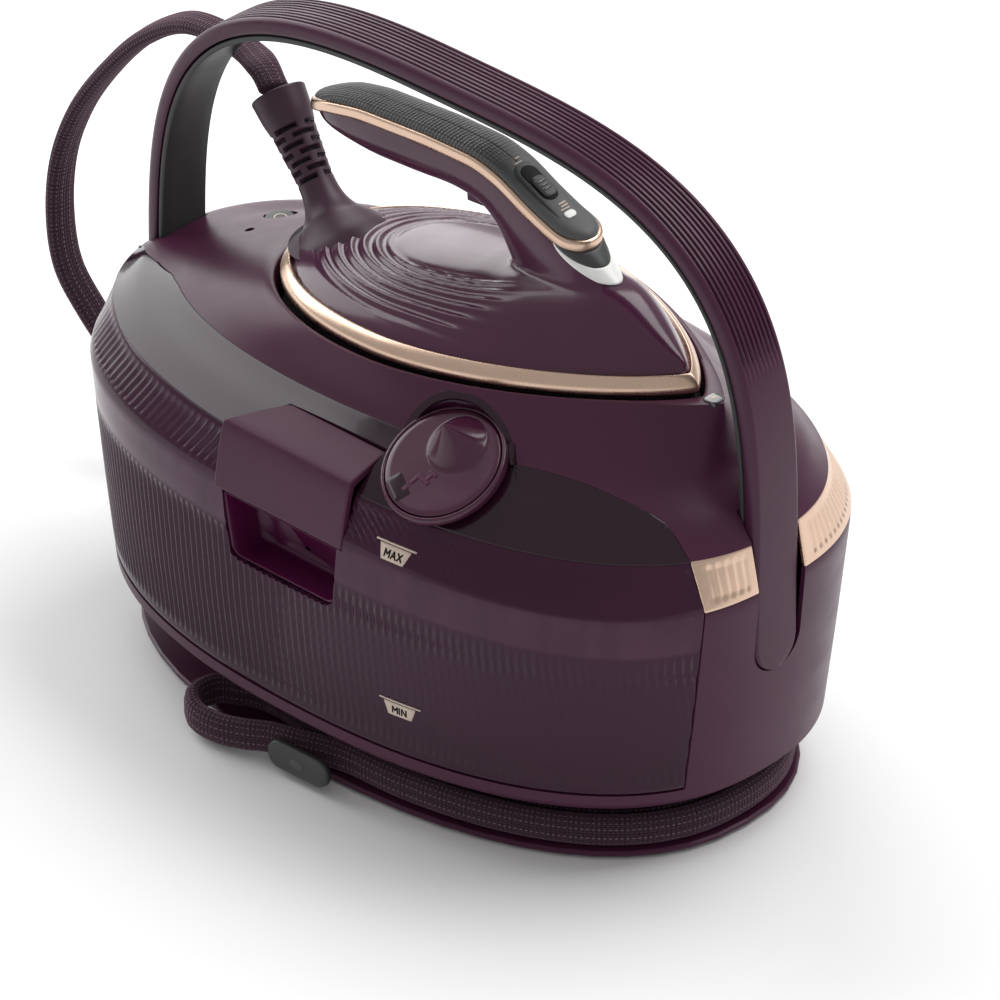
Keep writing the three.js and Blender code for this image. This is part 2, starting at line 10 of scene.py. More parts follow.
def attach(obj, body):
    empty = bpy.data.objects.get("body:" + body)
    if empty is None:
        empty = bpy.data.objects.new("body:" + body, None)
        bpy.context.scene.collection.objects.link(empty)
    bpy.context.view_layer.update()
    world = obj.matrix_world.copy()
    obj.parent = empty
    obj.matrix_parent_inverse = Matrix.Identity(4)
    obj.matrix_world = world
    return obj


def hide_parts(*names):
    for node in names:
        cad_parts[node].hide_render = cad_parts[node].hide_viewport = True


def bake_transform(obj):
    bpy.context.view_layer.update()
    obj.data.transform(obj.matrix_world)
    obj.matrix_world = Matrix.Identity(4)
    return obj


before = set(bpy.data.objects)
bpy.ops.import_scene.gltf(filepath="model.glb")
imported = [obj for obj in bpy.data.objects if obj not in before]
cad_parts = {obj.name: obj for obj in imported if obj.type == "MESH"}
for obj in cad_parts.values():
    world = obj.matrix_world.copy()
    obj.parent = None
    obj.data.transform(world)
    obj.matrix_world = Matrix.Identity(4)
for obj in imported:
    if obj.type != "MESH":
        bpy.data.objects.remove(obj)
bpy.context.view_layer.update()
MM = 0.001
TAU = 2 * math.pi


# ---------------------------------------------------------------- camera
def make_camera():
    azimuth, elevation, distance = math.radians(43.8), math.radians(32), 5.5239
    target = Vector((0.0119, 0.0103, 0.1028))
    back = Vector((math.sin(azimuth) * math.cos(elevation), -math.cos(azimuth) * math.cos(elevation),
                   math.sin(elevation)))
    data = bpy.data.cameras.new("camera")
    data.lens, data.sensor_width, data.clip_end = 419.0, 36.0, 50.0
    camera = bpy.data.objects.new("camera", data)
    camera.location = target + back * distance
    camera.rotation_euler = (-back).to_track_quat("-Z", "Y").to_euler()
    bpy.context.scene.collection.objects.link(camera)
    bpy.context.scene.camera = camera


make_camera()


# ---------------------------------------------------------------- mesh helpers
def mesh(name, verts, faces, materials=()):
    """A smooth-shaded object from points in millimetres."""
    data = bpy.data.meshes.new(name)
    data.from_pydata((np.asarray(verts, float) * MM).tolist(), [], faces)
    data.validate()
    obj = bpy.data.objects.new(name, data)
    bpy.context.scene.collection.objects.link(obj)
    for m in materials:
        data.materials.append(m)
    data.polygons.foreach_set("use_smooth", [True] * len(data.polygons))
    return obj


def fix_normals(obj):
    bm = bmesh.new()
    bm.from_mesh(obj.data)
    bmesh.ops.remove_doubles(bm, verts=bm.verts, dist=2e-6)
    bmesh.ops.recalc_face_normals(bm, faces=bm.faces)
    bm.to_mesh(obj.data)
    bm.free()
    return obj


def baked(obj):
    """The object with its modifiers applied."""
    deps = bpy.context.evaluated_depsgraph_get()
    data = bpy.data.meshes.new_from_object(obj.evaluated_get(deps))
    obj.modifiers.clear()
    obj.data = data
    return obj


def crisp(obj, degrees=32):
    """Smooth shading that keeps edges sharper than an angle."""
    obj.data.polygons.foreach_set("use_smooth", [True] * len(obj.data.polygons))
    obj.data.set_sharp_from_angle(angle=math.radians(degrees))
    return obj


def grid_faces(nu, nv, closed_u=False, closed_v=False):
    faces = []
    for i in range(nu if closed_u else nu - 1):
        for j in range(nv if closed_v else nv - 1):
            a, b = i * nv + j, ((i + 1) % nu) * nv + j
            c, d = ((i + 1) % nu) * nv + (j + 1) % nv, i * nv + (j + 1) % nv
            faces.append((a, b, c, d))
    return faces


def surface(name, points, materials=(), closed_u=False, closed_v=False, caps=False):
    """A grid of points [nu, nv, 3]. With caps, the first and last v rings are filled."""
    points = np.asarray(points, float)
    nu, nv = points.shape[:2]
    faces = grid_faces(nu, nv, closed_u, closed_v)
    if caps:
        faces.append(tuple(i * nv for i in range(nu)))
        faces.append(tuple(i * nv + nv - 1 for i in reversed(range(nu))))
    return fix_normals(mesh(name, points.reshape(-1, 3), faces, materials))


def grid_normals(p, closed_u=False):
    if closed_u:
        du = np.roll(p, -1, 0) - np.roll(p, 1, 0)
    else:
        du = np.gradient(p, axis=0)
    n = np.cross(du, np.gradient(p, axis=1))
    return n / np.maximum(np.linalg.norm(n, axis=2, keepdims=True), 1e-9)


def lips(p, radius, depth, sign=1, ends=("u0", "u1", "v0", "v1"), closed_u=False):
    """The grid with its borders rolled inwards over a radius and then run straight in."""
    for end in sorted(ends, reverse=True):
        n = grid_normals(p, closed_u) * sign
        along = 0 if end[0] == "u" else 1
        first = end[1] == "0"
        take = (lambda a, k: a[k] if along == 0 else a[:, k])
        edge, inner, normal = (take(p, 0), take(p, 1), take(n, 0)) if first else \
            (take(p, -1), take(p, -2), take(n, -1))
        out = edge - inner
        out -= (out * normal).sum(-1, keepdims=True) * normal
        out /= np.maximum(np.linalg.norm(out, axis=-1, keepdims=True), 1e-9)
        rows = [edge + out * radius * math.sin(a) - normal * radius * (1 - math.cos(a))
                for a in (math.pi / 8, math.pi / 4, 3 * math.pi / 8, math.pi / 2)]
        rows.append(rows[-1] - normal * depth)
        rows = np.stack(rows, axis=along)
        if first:
            p = np.concatenate([np.flip(rows, along), p], axis=along)
        else:
            p = np.concatenate([p, rows], axis=along)
    return p


def thicken(obj, by):
    mod = obj.modifiers.new("thick", "SOLIDIFY")
    mod.thickness, mod.offset, mod.use_even_offset = by * MM, -1, False
    return baked(obj)


def boolean(obj, *others, how="DIFFERENCE"):
    for other in others:
        mod = obj.modifiers.new("cut", "BOOLEAN")
        mod.operation, mod.object, mod.solver = how, other, "MANIFOLD"
        baked(obj)
        bpy.data.objects.remove(other)
    return obj


def prism(name, points, low, high, axis=2):
    """A polygon drawn out along an axis: points are in the other two axes, in order."""
    n = len(points)
    verts = []
    for level in (low, high):
        for a, b in points:
            verts.append({2: (a, b, level), 0: (level, a, b), 1: (a, level, b)}[axis])
    faces = [(i, (i + 1) % n, n + (i + 1) % n, n + i) for i in range(n)]
    faces += [tuple(range(n))[::-1], tuple(range(n, 2 * n))]
    return fix_normals(mesh(name, verts, faces))


def rounded(w, h, r, steps=6):
    """A rounded rectangle's corners about 0, 0."""
    points = []
    for k, (sx, sy) in enumerate([(1, 1), (-1, 1), (-1, -1), (1, -1)]):
        for i in range(steps + 1):
            a = (k + i / steps) * math.pi / 2
            points.append((sx * (w / 2 - r) + r * math.cos(a), sy * (h / 2 - r) + r * math.sin(a)))
    return points


def pillow(name, outline, height, round_, material, place, base=0.0):
    """A low block over an outline, its top edge rounded. place turns its points into the row frame."""
    outline = np.array(outline, float)
    centre = outline.mean(0)
    size = np.abs(outline - centre).max(0)
    rings = [(0.0, base)]
    for a in np.linspace(0, math.pi / 2, 6):
        rings.append((round_ * (1 - math.cos(a)), base + height - round_ + round_ * math.sin(a)))
    rings.append((min(size) * 0.55, base + height + round_ * 0.12))
    layers = []
    for inset, z in rings:
        scale = (size - inset) / size
        flat = centre + (outline - centre) * scale
        layers.append(place(np.column_stack([flat, np.full(len(flat), z)])))
    return surface(name, np.stack(layers, axis=1), [material], closed_u=True, caps=True)


def circle(radius, count, x=0.0, y=0.0):
    """Points of a circle about x, y."""
    a = np.linspace(0, TAU, count, endpoint=False)
    return np.column_stack([x + radius * np.cos(a), y + radius * np.sin(a)])


def rotation(axis, degrees):
    return np.array(Matrix.Rotation(math.radians(degrees), 3, axis))


def smoothstep(x, a, b):
    t = np.clip((np.asarray(x, float) - a) / (b - a), 0, 1)
    return t * t * (3 - 2 * t)


def spline(keys, count):
    """A smooth line through key points, by even steps of its length."""
    keys = np.asarray(keys, float)
    ends = [2 * keys[0] - keys[1], *keys, 2 * keys[-1] - keys[-2]]
    out = []
    for p0, p1, p2, p3 in zip(ends, ends[1:], ends[2:], ends[3:]):
        t0 = 0.0
        t1 = t0 + max(np.linalg.norm(p1 - p0), 1e-6) ** 0.5
        t2 = t1 + max(np.linalg.norm(p2 - p1), 1e-6) ** 0.5
        t3 = t2 + max(np.linalg.norm(p3 - p2), 1e-6) ** 0.5
        for t in np.linspace(t1, t2, 16, endpoint=False):
            a1 = (t1 - t) / (t1 - t0) * p0 + (t - t0) / (t1 - t0) * p1
            a2 = (t2 - t) / (t2 - t1) * p1 + (t - t1) / (t2 - t1) * p2
            a3 = (t3 - t) / (t3 - t2) * p2 + (t - t2) / (t3 - t2) * p3
            b1 = (t2 - t) / (t2 - t0) * a1 + (t - t0) / (t2 - t0) * a2
            b2 = (t3 - t) / (t3 - t1) * a2 + (t - t1) / (t3 - t1) * a3
            out.append((t2 - t) / (t2 - t1) * b1 + (t - t1) / (t2 - t1) * b2)
    out.append(keys[-1])
    out = np.array(out)
    length = np.concatenate([[0], np.cumsum(np.linalg.norm(np.diff(out, axis=0), axis=1))])
    even = np.linspace(0, length[-1], count)
    return np.column_stack([np.interp(even, length, out[:, k]) for k in range(out.shape[1])])


# ---------------------------------------------------------------- materials
def linear(hex_colour):
    parts = [int(hex_colour[i:i + 2], 16) / 255 for i in (0, 2, 4)]
    return (*[c / 12.92 if c <= 0.04045 else ((c + 0.055) / 1.055) ** 2.4 for c in parts], 1.0)


class Nodes:
    """A material's node tree with short calls for its usual pieces."""

    def __init__(self, name):
        self.material = bpy.data.materials.new(name)
        self.material.use_nodes = True
        self.tree = self.material.node_tree
        self.shader = self.tree.nodes["Principled BSDF"]
        self.space = self.new("ShaderNodeTexCoord").outputs["Object"]

    def new(self, kind, **settings):
        node = self.tree.nodes.new(kind)
        for key, value in settings.items():
            setattr(node, key, value)
        return node

    def link(self, source, target):
        self.tree.links.new(source, target)

    def math(self, operation, a, b=0.0, c=None):
        node = self.new("ShaderNodeMath", operation=operation)
        for socket, value in zip(node.inputs, (a, b, c)):
            if value is None:
                continue
            if isinstance(value, (int, float)):
                socket.default_value = value
            else:
                self.link(value, socket)
        return node.outputs[0]

    def noise(self, scale, detail=3.0, rough=0.55, stretch=None):
        source = self.space
        if stretch:
            mapping = self.new("ShaderNodeMapping")
            mapping.inputs["Scale"].default_value = stretch
            self.link(self.space, mapping.inputs["Vector"])
            source = mapping.outputs[0]
        node = self.new("ShaderNodeTexNoise")
        node.inputs["Scale"].default_value = scale
        node.inputs["Detail"].default_value = detail
        node.inputs["Roughness"].default_value = rough
        self.link(source, node.inputs["Vector"])
        return node.outputs["Fac"]

    def ramp(self, value, low, high, a=0.0, b=1.0):
        node = self.new("ShaderNodeMapRange")
        for socket, number in zip(node.inputs[1:5], (low, high, a, b)):
            socket.default_value = number
        self.link(value, node.inputs[0])
        return node.outputs[0]

    def mix(self, factor, a, b):
        node = self.new("ShaderNodeMix", data_type="RGBA")
        self.link(factor, node.inputs["Factor"])
        for socket, value in ((node.inputs[6], a), (node.inputs[7], b)):
            if isinstance(value, tuple):
                socket.default_value = value
            else:
                self.link(value, socket)
        return node.outputs[2]

    def bump(self, height, distance, strength=1.0, normal=None):
        node = self.new("ShaderNodeBump")
        node.inputs["Strength"].default_value = strength
        node.inputs["Distance"].default_value = distance * MM
        self.link(height, node.inputs["Height"])
        if normal is not None:
            self.link(normal, node.inputs["Normal"])
        return node.outputs[0]

    def set(self, **values):
        for key, value in values.items():
            socket = self.shader.inputs[key.replace("_", " ")]
            if isinstance(value, (int, float, tuple)):
                socket.default_value = value
            else:
                self.link(value, socket)
        return self


def plastic(name, colour, rough, spec=0.4, coat=0.0, grain=0.012, grain_scale=2600, spread=0.06, extra=None):
    """Moulded plastic: a fine grain, faint flow marks in the colour and handling marks in the gloss."""
    n = Nodes(name)
    base = linear(colour)
    dark = tuple(c * (1 - spread * 2.2) for c in base[:3]) + (1.0,)
    light = tuple(min(1, c * (1 + spread * 2.2)) for c in base[:3]) + (1.0,)
    flow = n.noise(9, 4, 0.5)
    n.set(Base_Color=n.mix(n.ramp(flow, 0.3, 0.7), dark, light))
    smear = n.noise(38, 5, 0.6, (1, 1, 2.2))
    n.set(Roughness=n.ramp(smear, 0.3, 0.75, max(0.02, rough - 0.05), rough + 0.06))
    n.set(Specular_IOR_Level=spec, Coat_Weight=coat)
    if coat:
        n.set(Coat_Roughness=0.03)
    normal = n.bump(n.noise(grain_scale, 2, 0.5), grain)
    normal = n.bump(n.noise(60, 2, 0.4), 0.01, 0.5, normal)
    n.link(normal, n.shader.inputs["Normal"])
    if extra:
        extra(n)
    return n.material


def metal(name, colour, rough, brushed=None, spread=0.05):
    n = Nodes(name)
    base = linear(colour)
    dark = tuple(c * (1 - spread) for c in base[:3]) + (1.0,)
    n.set(Base_Color=n.mix(n.noise(24, 4), dark, base), Metallic=1.0)
    n.set(Roughness=n.ramp(n.noise(70, 4, 0.6), 0.3, 0.7, rough - 0.04, rough + 0.06))
    streak = n.noise(900, 2, 0.5, brushed or (1, 1, 1))
    n.link(n.bump(streak, 0.012), n.shader.inputs["Normal"])
    return n.material


def knurled(n):
    """A diamond pattern on the rear of the grip's top, with a painted highlight: the raised diamonds are
    coloured a lighter grey.
    """
    split = n.new("ShaderNodeSeparateXYZ")
    n.link(n.space, split.inputs[0])
    x, y = split.outputs[0], split.outputs[1]
    k = 2 * math.pi / 0.0042
    a = n.math("SINE", n.math("MULTIPLY", n.math("ADD", x, n.math("MULTIPLY", y, 1.25)), k))
    b = n.math("SINE", n.math("MULTIPLY", n.math("SUBTRACT", x, n.math("MULTIPLY", y, 1.25)), k))
    cell = n.math("MULTIPLY", n.math("MULTIPLY", a, b), n.ramp(x, 0.012, 0.034, 1.0, 0.0))
    old = n.shader.inputs["Normal"].links[0].from_socket
    n.link(n.bump(cell, 0.34, 1.0, old), n.shader.inputs["Normal"])
    base = n.shader.inputs["Base Color"].links[0].from_socket
    # painted highlight: the raised diamonds are mixed towards light grey
    n.set(Base_Color=n.mix(n.ramp(cell, -0.2, 0.9, 0.0, 0.6), base, linear("8c8c8e")))


def streaked(n):
    """Faint light and dark upright bands, as the ribs moulded inside a smoky wall show through; lower down,
    painted shade darkens the wall towards its bottom.
    """
    split = n.new("ShaderNodeSeparateXYZ")
    n.link(n.space, split.inputs[0])
    z = split.outputs[2]
    base = n.shader.inputs["Base Color"].links[0].from_socket
    band = n.math("MULTIPLY", n.ramp(z, 0.1235, 0.126), n.ramp(z, 0.1455, 0.1475, 1.0, 0.0))
    blot = n.noise(55, 3, 0.6, (1, 1, 0.25))
    lighter = n.mix(n.math("MULTIPLY", band, n.ramp(blot, 0.3, 0.75, 0.12, 0.45)), base, linear("603a53"))
    # painted shade: the wall is mixed towards near-black below about 85 mm, darkest at its foot near the floor
    painted_shade = n.math("MULTIPLY", n.ramp(z, 0.044, 0.085, 0.55, 0.0), 1.0)
    n.set(Base_Color=n.mix(painted_shade, lighter, linear("290c1e")))


def woven(n):
    """Braided textile with rib lines along the hose: its texture is laid out by the mesh's own UV."""
    uv = n.new("ShaderNodeUVMap", uv_map="along").outputs[0]
    split = n.new("ShaderNodeSeparateXYZ")
    n.link(uv, split.inputs[0])
    u, v = split.outputs[0], split.outputs[1]
    around, along = n.math("MULTIPLY", u, TAU * 22), n.math("MULTIPLY", v, TAU / 0.0042)
    p = n.math("SINE", n.math("ADD", around, along))
    q = n.math("SINE", n.math("SUBTRACT", around, along))
    weave = n.math("MULTIPLY", p, q)
    rib = n.math("POWER", n.math("ABSOLUTE", n.math("COSINE", n.math("MULTIPLY", u, math.pi * 14))), 26.0)
    dots = n.ramp(n.math("SINE", n.math("MULTIPLY", v, TAU / 0.0026)), -0.2, 0.5)
    thread = n.math("MULTIPLY", rib, dots)
    base = n.mix(n.ramp(weave, -1, 1), linear("22131c"), linear("46303c"))
    n.set(Base_Color=n.mix(n.math("MULTIPLY", thread, 0.75), base, linear("8a7380")))
    old = n.shader.inputs["Normal"].links[0].from_socket
    first = n.bump(weave, 0.22, 1.0, old)
    n.link(n.bump(thread, 0.2, 1.0, first), n.shader.inputs["Normal"])
    n.set(Sheen_Weight=0.5, Sheen_Roughness=0.4, Sheen_Tint=linear("b08a9c"))


AUBERGINE = plastic("aubergine", "431c34", 0.36, 0.26)
SATIN = plastic("satin_aubergine", "461f36", 0.36, 0.27)
HANDLE = plastic("handle_aubergine", "431d34", 0.34, 0.3)
SHELL = plastic("iron_gloss", "481f38", 0.22, 0.38, 0.15, 0.004)
SMOKE = plastic("smoky_tank", "36122a", 0.2, 0.22, 0.07, 0.003, extra=streaked)
LID = plastic("smoky_lid", "260f1d", 0.12, 0.3, 0.14, 0.0)
DOOR = plastic("door_gloss", "472036", 0.2, 0.34, 0.15, 0.002)
RECESS = plastic("recess_magenta", "4d1038", 0.3, 0.3)
GROOVE_SHADE = plastic("groove_shade", "24121c", 0.5, 0.2)
BOOT = plastic("boot_aubergine", "3d2433", 0.42, 0.35)
# black for print and small parts, and also painted shade on the faces deep in the hose boot's slots
BLACK_AND_SLOT_SHADE = plastic("black_and_slot_shade", "0c0709", 0.6, 0.2)
GREY = plastic("dark_grey", "3d3e3e", 0.42, 0.4, grain=0.03)
LINER = plastic("liner_grey", "383939", 0.48, 0.35, grain=0.04)
KNURL = plastic("grip_grey", "4a4b4c", 0.45, 0.4, grain=0.03, extra=knurled)
GLOSS_GREY = plastic("gloss_grey", "3a393b", 0.12, 0.5, 0.5, 0.002)
RUBBER = plastic("rubber", "242226", 0.7, 0.25, grain=0.05)
WHITE = plastic("white_lamp", "f2f2f0", 0.25, 0.5, spread=0.01)
BEIGE = plastic("print_beige", "cbb9ab", 0.5, 0.3, spread=0.02)
AMBER = plastic("amber_lens", "e0b040", 0.2, 0.5, spread=0.02)
BOARD = plastic("board_green", "2f6b45", 0.5, 0.4)
TEXTILE = plastic("hose_textile", "35242e", 0.8, 0.2, grain=0.05, extra=woven)
GOLD = metal("rose_gold", "d9bba6", 0.27, (1, 1, 0.15))
STEEL = metal("steel", "c0c2c6", 0.28, (1, 8, 1))
BRASS = metal("brass", "b99555", 0.33)

for look, names in (
    (AUBERGINE, "pedestal hose_channel_core tank_bay_wall"), (SATIN, "steam_trigger"),
    (GREY, "hose_outlet_gland mains_lead_gland water_pump tank_outlet_valve"),
    (RUBBER, "iron_rest rest_mat filler_seal heat_skirt"),
    (RUBBER, "foot_front_right foot_front_left foot_rear_right foot_rear_left"),
    (STEEL, "boiler boiler_bracket_left boiler_bracket_right soleplate steam_chamber"),
    (BRASS, "boiler_seal_cap steam_valve"), (BOARD, "control_board"),
):
    for node_name in names.split():
        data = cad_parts[node_name].data
        data.materials.clear()
        data.materials.append(look)


def place(obj, body, slot, *nodes):
    """Puts a finished piece on its body and hides the CAD nodes it stands for. The finish's name, slot, is not
    used.
    """
    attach(obj, body)
    if nodes:
        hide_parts(*nodes)
    return obj


def block(name, outline, height, round_, material, at, body, slot, *nodes):
    """A pillow over an outline, placed on its body."""
    return place(pillow(name, outline, height, round_, material, at), body, slot, *nodes)


# ---------------------------------------------------------------- the frame's own curves
def oval(t, a, b, n, z=None):
    c, s = np.cos(t), np.sin(t)
    x = a * np.sign(c) * np.abs(c) ** (2 / n)
    y = b * np.sign(s) * np.abs(s) ** (2 / n)
    return np.stack([x, y], -1) if z is None else np.stack([x, y, np.broadcast_to(z, x.shape)], -1)


WALL_KEYS = np.array([[32, 187, 115, 2.3], [38, 193.5, 121.2, 2.3], [85, 198.5, 121.4, 2.4],
                      [146.6, 203.5, 119.8, 2.6], [170.2, 199, 110.5, 2.3]])


def wall_shape(z):
    """Half length, half width and squareness of the station's wall at height z."""
    return (np.interp(z, WALL_KEYS[:, 0], WALL_KEYS[:, k]) for k in (1, 2, 3))


def wall(t, z, inset=0.0):
    """The station's outer wall at angles t and height z."""
    a, b, n = wall_shape(z)
    return oval(t, a - inset, b - inset, n, z)


def iron_outline(t, margin=0.0, nose=0.0):
    widest = 126 - 0.57 * 252
    c, s = np.cos(t), np.sin(t)
    front = (143.6 + margin) * np.abs(c) ** 1.143 + nose * np.abs(c) ** 6
    heel = (108.4 + margin) * np.abs(c) ** (2 / 2.1)
    power = np.where(c > 0, 1.6, 2 / 2.1)
    y = (67 + margin) * np.sign(s) * np.abs(s) ** power
    return np.stack([widest + np.where(c > 0, front, -heel), y], -1)


IRON_AT = np.array([23.0, 0.0, 218.0])
IRON_TURN = rotation("Y", -4.5)


def iron_frame(p):
    return np.asarray(p, float) @ IRON_TURN.T + IRON_AT


def dome(t, s):
    """The station's top: s runs 0 at the collar, 1, 2 at the lid's seam, and 3 at the iron."""
    ring0 = oval(t, 199, 110.5, 2.3, 170.55)
    ring1 = oval(t, 190, 98, 2.25, 180)
    ring1[..., 2] += 0.02 * ring1[..., 0]
    ring2 = oval(t, 172, 80, 2.2, 190)
    ring2[..., 2] += 0.05 * ring2[..., 0]
    flat = iron_outline(t, 5, 11)
    tilt = math.radians(4.5)
    x, y = flat[..., 0], flat[..., 1]
    ring3 = np.stack([23 + x * math.cos(tilt), y, 215 + x * math.sin(tilt)], -1)
    keys = [2 * ring0 - ring1, ring0, ring1, ring2, ring3, 2 * ring3 - ring2]
    s = np.broadcast_to(np.clip(s, 0, 3), t.shape)
    k = np.minimum(s.astype(int), 2)
    f = (s - k)[..., None]
    stack = np.stack(keys)
    pick = lambda d: np.take_along_axis(stack, (k + d)[None, ..., None], 0)[0]
    p0, p1, p2, p3 = pick(0), pick(1), pick(2), pick(3)
    line = p1 + (p2 - p1) * f
    curve = 0.5 * (2 * p1 + (p2 - p0) * f + (2 * p0 - 5 * p1 + 4 * p2 - p3) * f ** 2
                   + (3 * p1 - p0 - 3 * p2 + p3) * f ** 3)
    return line + (curve - line) * 0.55


OUTLINE_X = [-240, -182, -156, 150, 170, 240]
OUTLINE_Y = [-20.5, -20.5, -42, -42, -46, -46]
DOOR_AT = np.array([68.0, -84.0, 187.0])
DOOR_TURN = rotation("X", 32)


def door_frame(p):
    return np.asarray(p, float) @ DOOR_TURN.T + DOOR_AT


def door_ring(radius, z, x=0.0, y=0.0):
    """A ring of points about the door's axis, at a height over its plane."""
    return door_frame(np.column_stack([circle(radius, 96, x, y), np.full(96, z)]))


def front_range(row, by=0.35):
    """The angles where a ring crosses the tank's rear outline, left and right."""
    t = np.linspace(math.pi + 0.002, TAU - 0.002, 4000)
    p = row(t)
    inside = p[:, 1] < np.interp(p[:, 0], OUTLINE_X, OUTLINE_Y) - by
    return t[inside][0], t[inside][-1]


LEG_SLOT = {"half": 15.7, "depth": 187.6, "foot": 112.2}


def leg_cutters():
    """The slots for the handle's legs: half a width, where the inner face is, and the foot's middle."""
    half, depth = LEG_SLOT["half"], LEG_SLOT["depth"]
    arc = [(half * math.cos(a), LEG_SLOT["foot"] + half * math.sin(a)) for a in np.linspace(math.pi, TAU, 20)]
    profile = [*arc, (half, 300), (-half, 300)]
    return [prism("cut", profile, x0, x1, axis=0) for x0, x1 in ((-240, -depth), (depth, 240))]


# ---------------------------------------------------------------- steam hose
GROOVE = {"a": 183.4, "b": 108.9, "n": 2.3, "z": 13.5}
MOUTH = (-138.6, 12.3, 267)
FREE_ARC = [(-150, 17.5, 270.8), (-165, 25, 269.5), (-190, 30, 269), (-217, 33, 264), (-246, 34, 245),
            (-270, 33, 219), (-290, 31, 189), (-300, 28, 160), (-302, 26, 128), (-297, 26, 99), (-285, 29, 78),
            (-271, 33, 59), (-253, 36, 39), (-231, 37, 24), (-208, 37, 15.5), (-185, 40, 13.6)]
BIGHT = [(-6, -110.2, 13.4), (-20, -114, 12.8), (-33, -120.5, 12), (-47, -124.5, 11.6), (-61, -123, 11.8),
         (-69.5, -114.5, 13), (-67, -102, 13.6), (-56, -95, 13.6)]
HOSE_WIDE, HOSE_THICK = 16.5, 9.0


def groove(inset, start, stop, count):
    t = np.radians(np.linspace(start, stop, count))
    return oval(t, GROOVE["a"] - inset, GROOVE["b"] - inset, GROOVE["n"], GROOVE["z"])


def make_hose():
    route = np.concatenate([[MOUTH], FREE_ARC, groove(6.2, 156, -86, 26), BIGHT, groove(16.6, -102, 98, 24),
                            [(-38, 89.4, 13.5), (-45.2, 88, 13.5)]])
    rough = spline(route, 800)
    length = np.linalg.norm(np.diff(rough, axis=0), axis=1).sum()
    rings = int(length / 2.2)
    line = spline(route, rings)
    tangent = np.gradient(line, axis=0)
    tangent /= np.linalg.norm(tangent, axis=1, keepdims=True)
    along = np.linspace(0, length, rings)
    arc_end = 540.0
    keys = np.array([(-0.3, 1, 0), (-0.1, 1, 0), (0.1, 1, 0), (-0.2, 0.8, 0.5), (0, 0, 1)], float)
    where = np.clip(along / arc_end, 0, 1) * 4
    wide = np.column_stack([np.interp(where, range(5), keys[:, k]) for k in range(3)])
    for _ in range(12):  # even out the turn of the wide side
        wide[1:-1] = (wide[:-2] + wide[1:-1] * 2 + wide[2:]) / 4
    wide -= (wide * tangent).sum(1, keepdims=True) * tangent
    wide /= np.linalg.norm(wide, axis=1, keepdims=True)
    thin = np.cross(tangent, wide)
    sides = 48
    a = np.linspace(0, TAU, sides, endpoint=False)
    rib = 0.22 * np.clip(np.cos(a * 14), 0, 1) ** 3
    y = (HOSE_WIDE / 2 - 0.25 + rib) * np.sign(np.cos(a)) * np.abs(np.cos(a)) ** 0.8
    z = (HOSE_THICK / 2 - 0.25 + rib) * np.sign(np.sin(a)) * np.abs(np.sin(a)) ** 0.8
    points = line[:, None] + wide[:, None] * y[None, :, None] + thin[:, None] * z[None, :, None]
    verts = points.reshape(-1, 3)
    faces = [(i * sides + j, i * sides + k, (i + 1) * sides + k, (i + 1) * sides + j)
             for i in range(rings - 1) for j in range(sides) for k in [(j + 1) % sides]]
    faces += [tuple(range(sides))[::-1], tuple(range((rings - 1) * sides, rings * sides))]
    obj = mesh("steam_hose", verts, faces, [TEXTILE])
    layer = obj.data.uv_layers.new(name="along")
    for face in obj.data.polygons:
        for loop, vertex in zip(face.loop_indices, face.vertices):
            i, j = divmod(vertex, sides)
            u = j / sides
            if u == 0 and any(v % sides > sides / 2 for v in face.vertices):
                u = 1.0
            layer.data[loop].uv = (u, along[i] * MM)
    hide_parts("hose_free_arc", "hose_outer_turn", "hose_bight", "hose_inner_turn")
    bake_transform(obj)


def make_clip():
    turn = rotation("Z", 2)

    def at(p):
        return np.column_stack([p[:, 0] + 0.5, -117.9 - p[:, 2], p[:, 1] + 11.5]) @ turn.T
    block("hose_clip_pill", rounded(38, 14.6, 6.6, 8), 3.3, 1.3, GREY, at,
          "station", "dark_plastic", "hose_clip")
    block("hose_clip_mark", rounded(7.5, 4.2, 2, 5), 0.25, 0.1, GLOSS_GREY, lambda p: at(p + [0, 0, 3.4]),
          "station", "dark_plastic")


# ---------------------------------------------------------------- housing and trim
def make_housing():
    t = np.linspace(0, TAU, 361)[:-1]
    levels = [32, 32.3, 33, 34.2, 36, 38.5, 42, 46, 52, 60, 70, 85, 100, 115, 130, 140, 145, 146.1]
    insets = [2.2, 1.2, 0.5, 0.1] + [0] * 12 + [0.15, 0.8]
    rows = [wall(t, z, i) for z, i in zip(levels, insets)]
    under = [oval(t, 2, 2, 2, 32.0), oval(t, 120, 60, 2.2, 32.0), wall(t, 32, 8)]
    obj = surface("housing", np.stack(under + rows, axis=1), [AUBERGINE], closed_u=True)
    thicken(obj, 2.6)
    bay = [(-240, -20.15), (-182, -20.15), (-156, -41.65), (150, -41.65), (170, -45.65), (240, -45.65),
           (240, -160), (-240, -160)]
    boolean(obj, prism("cut", bay, 44, 220), *leg_cutters())
    place(crisp(obj, 35), "station", "aubergine_plastic", "lower_housing")


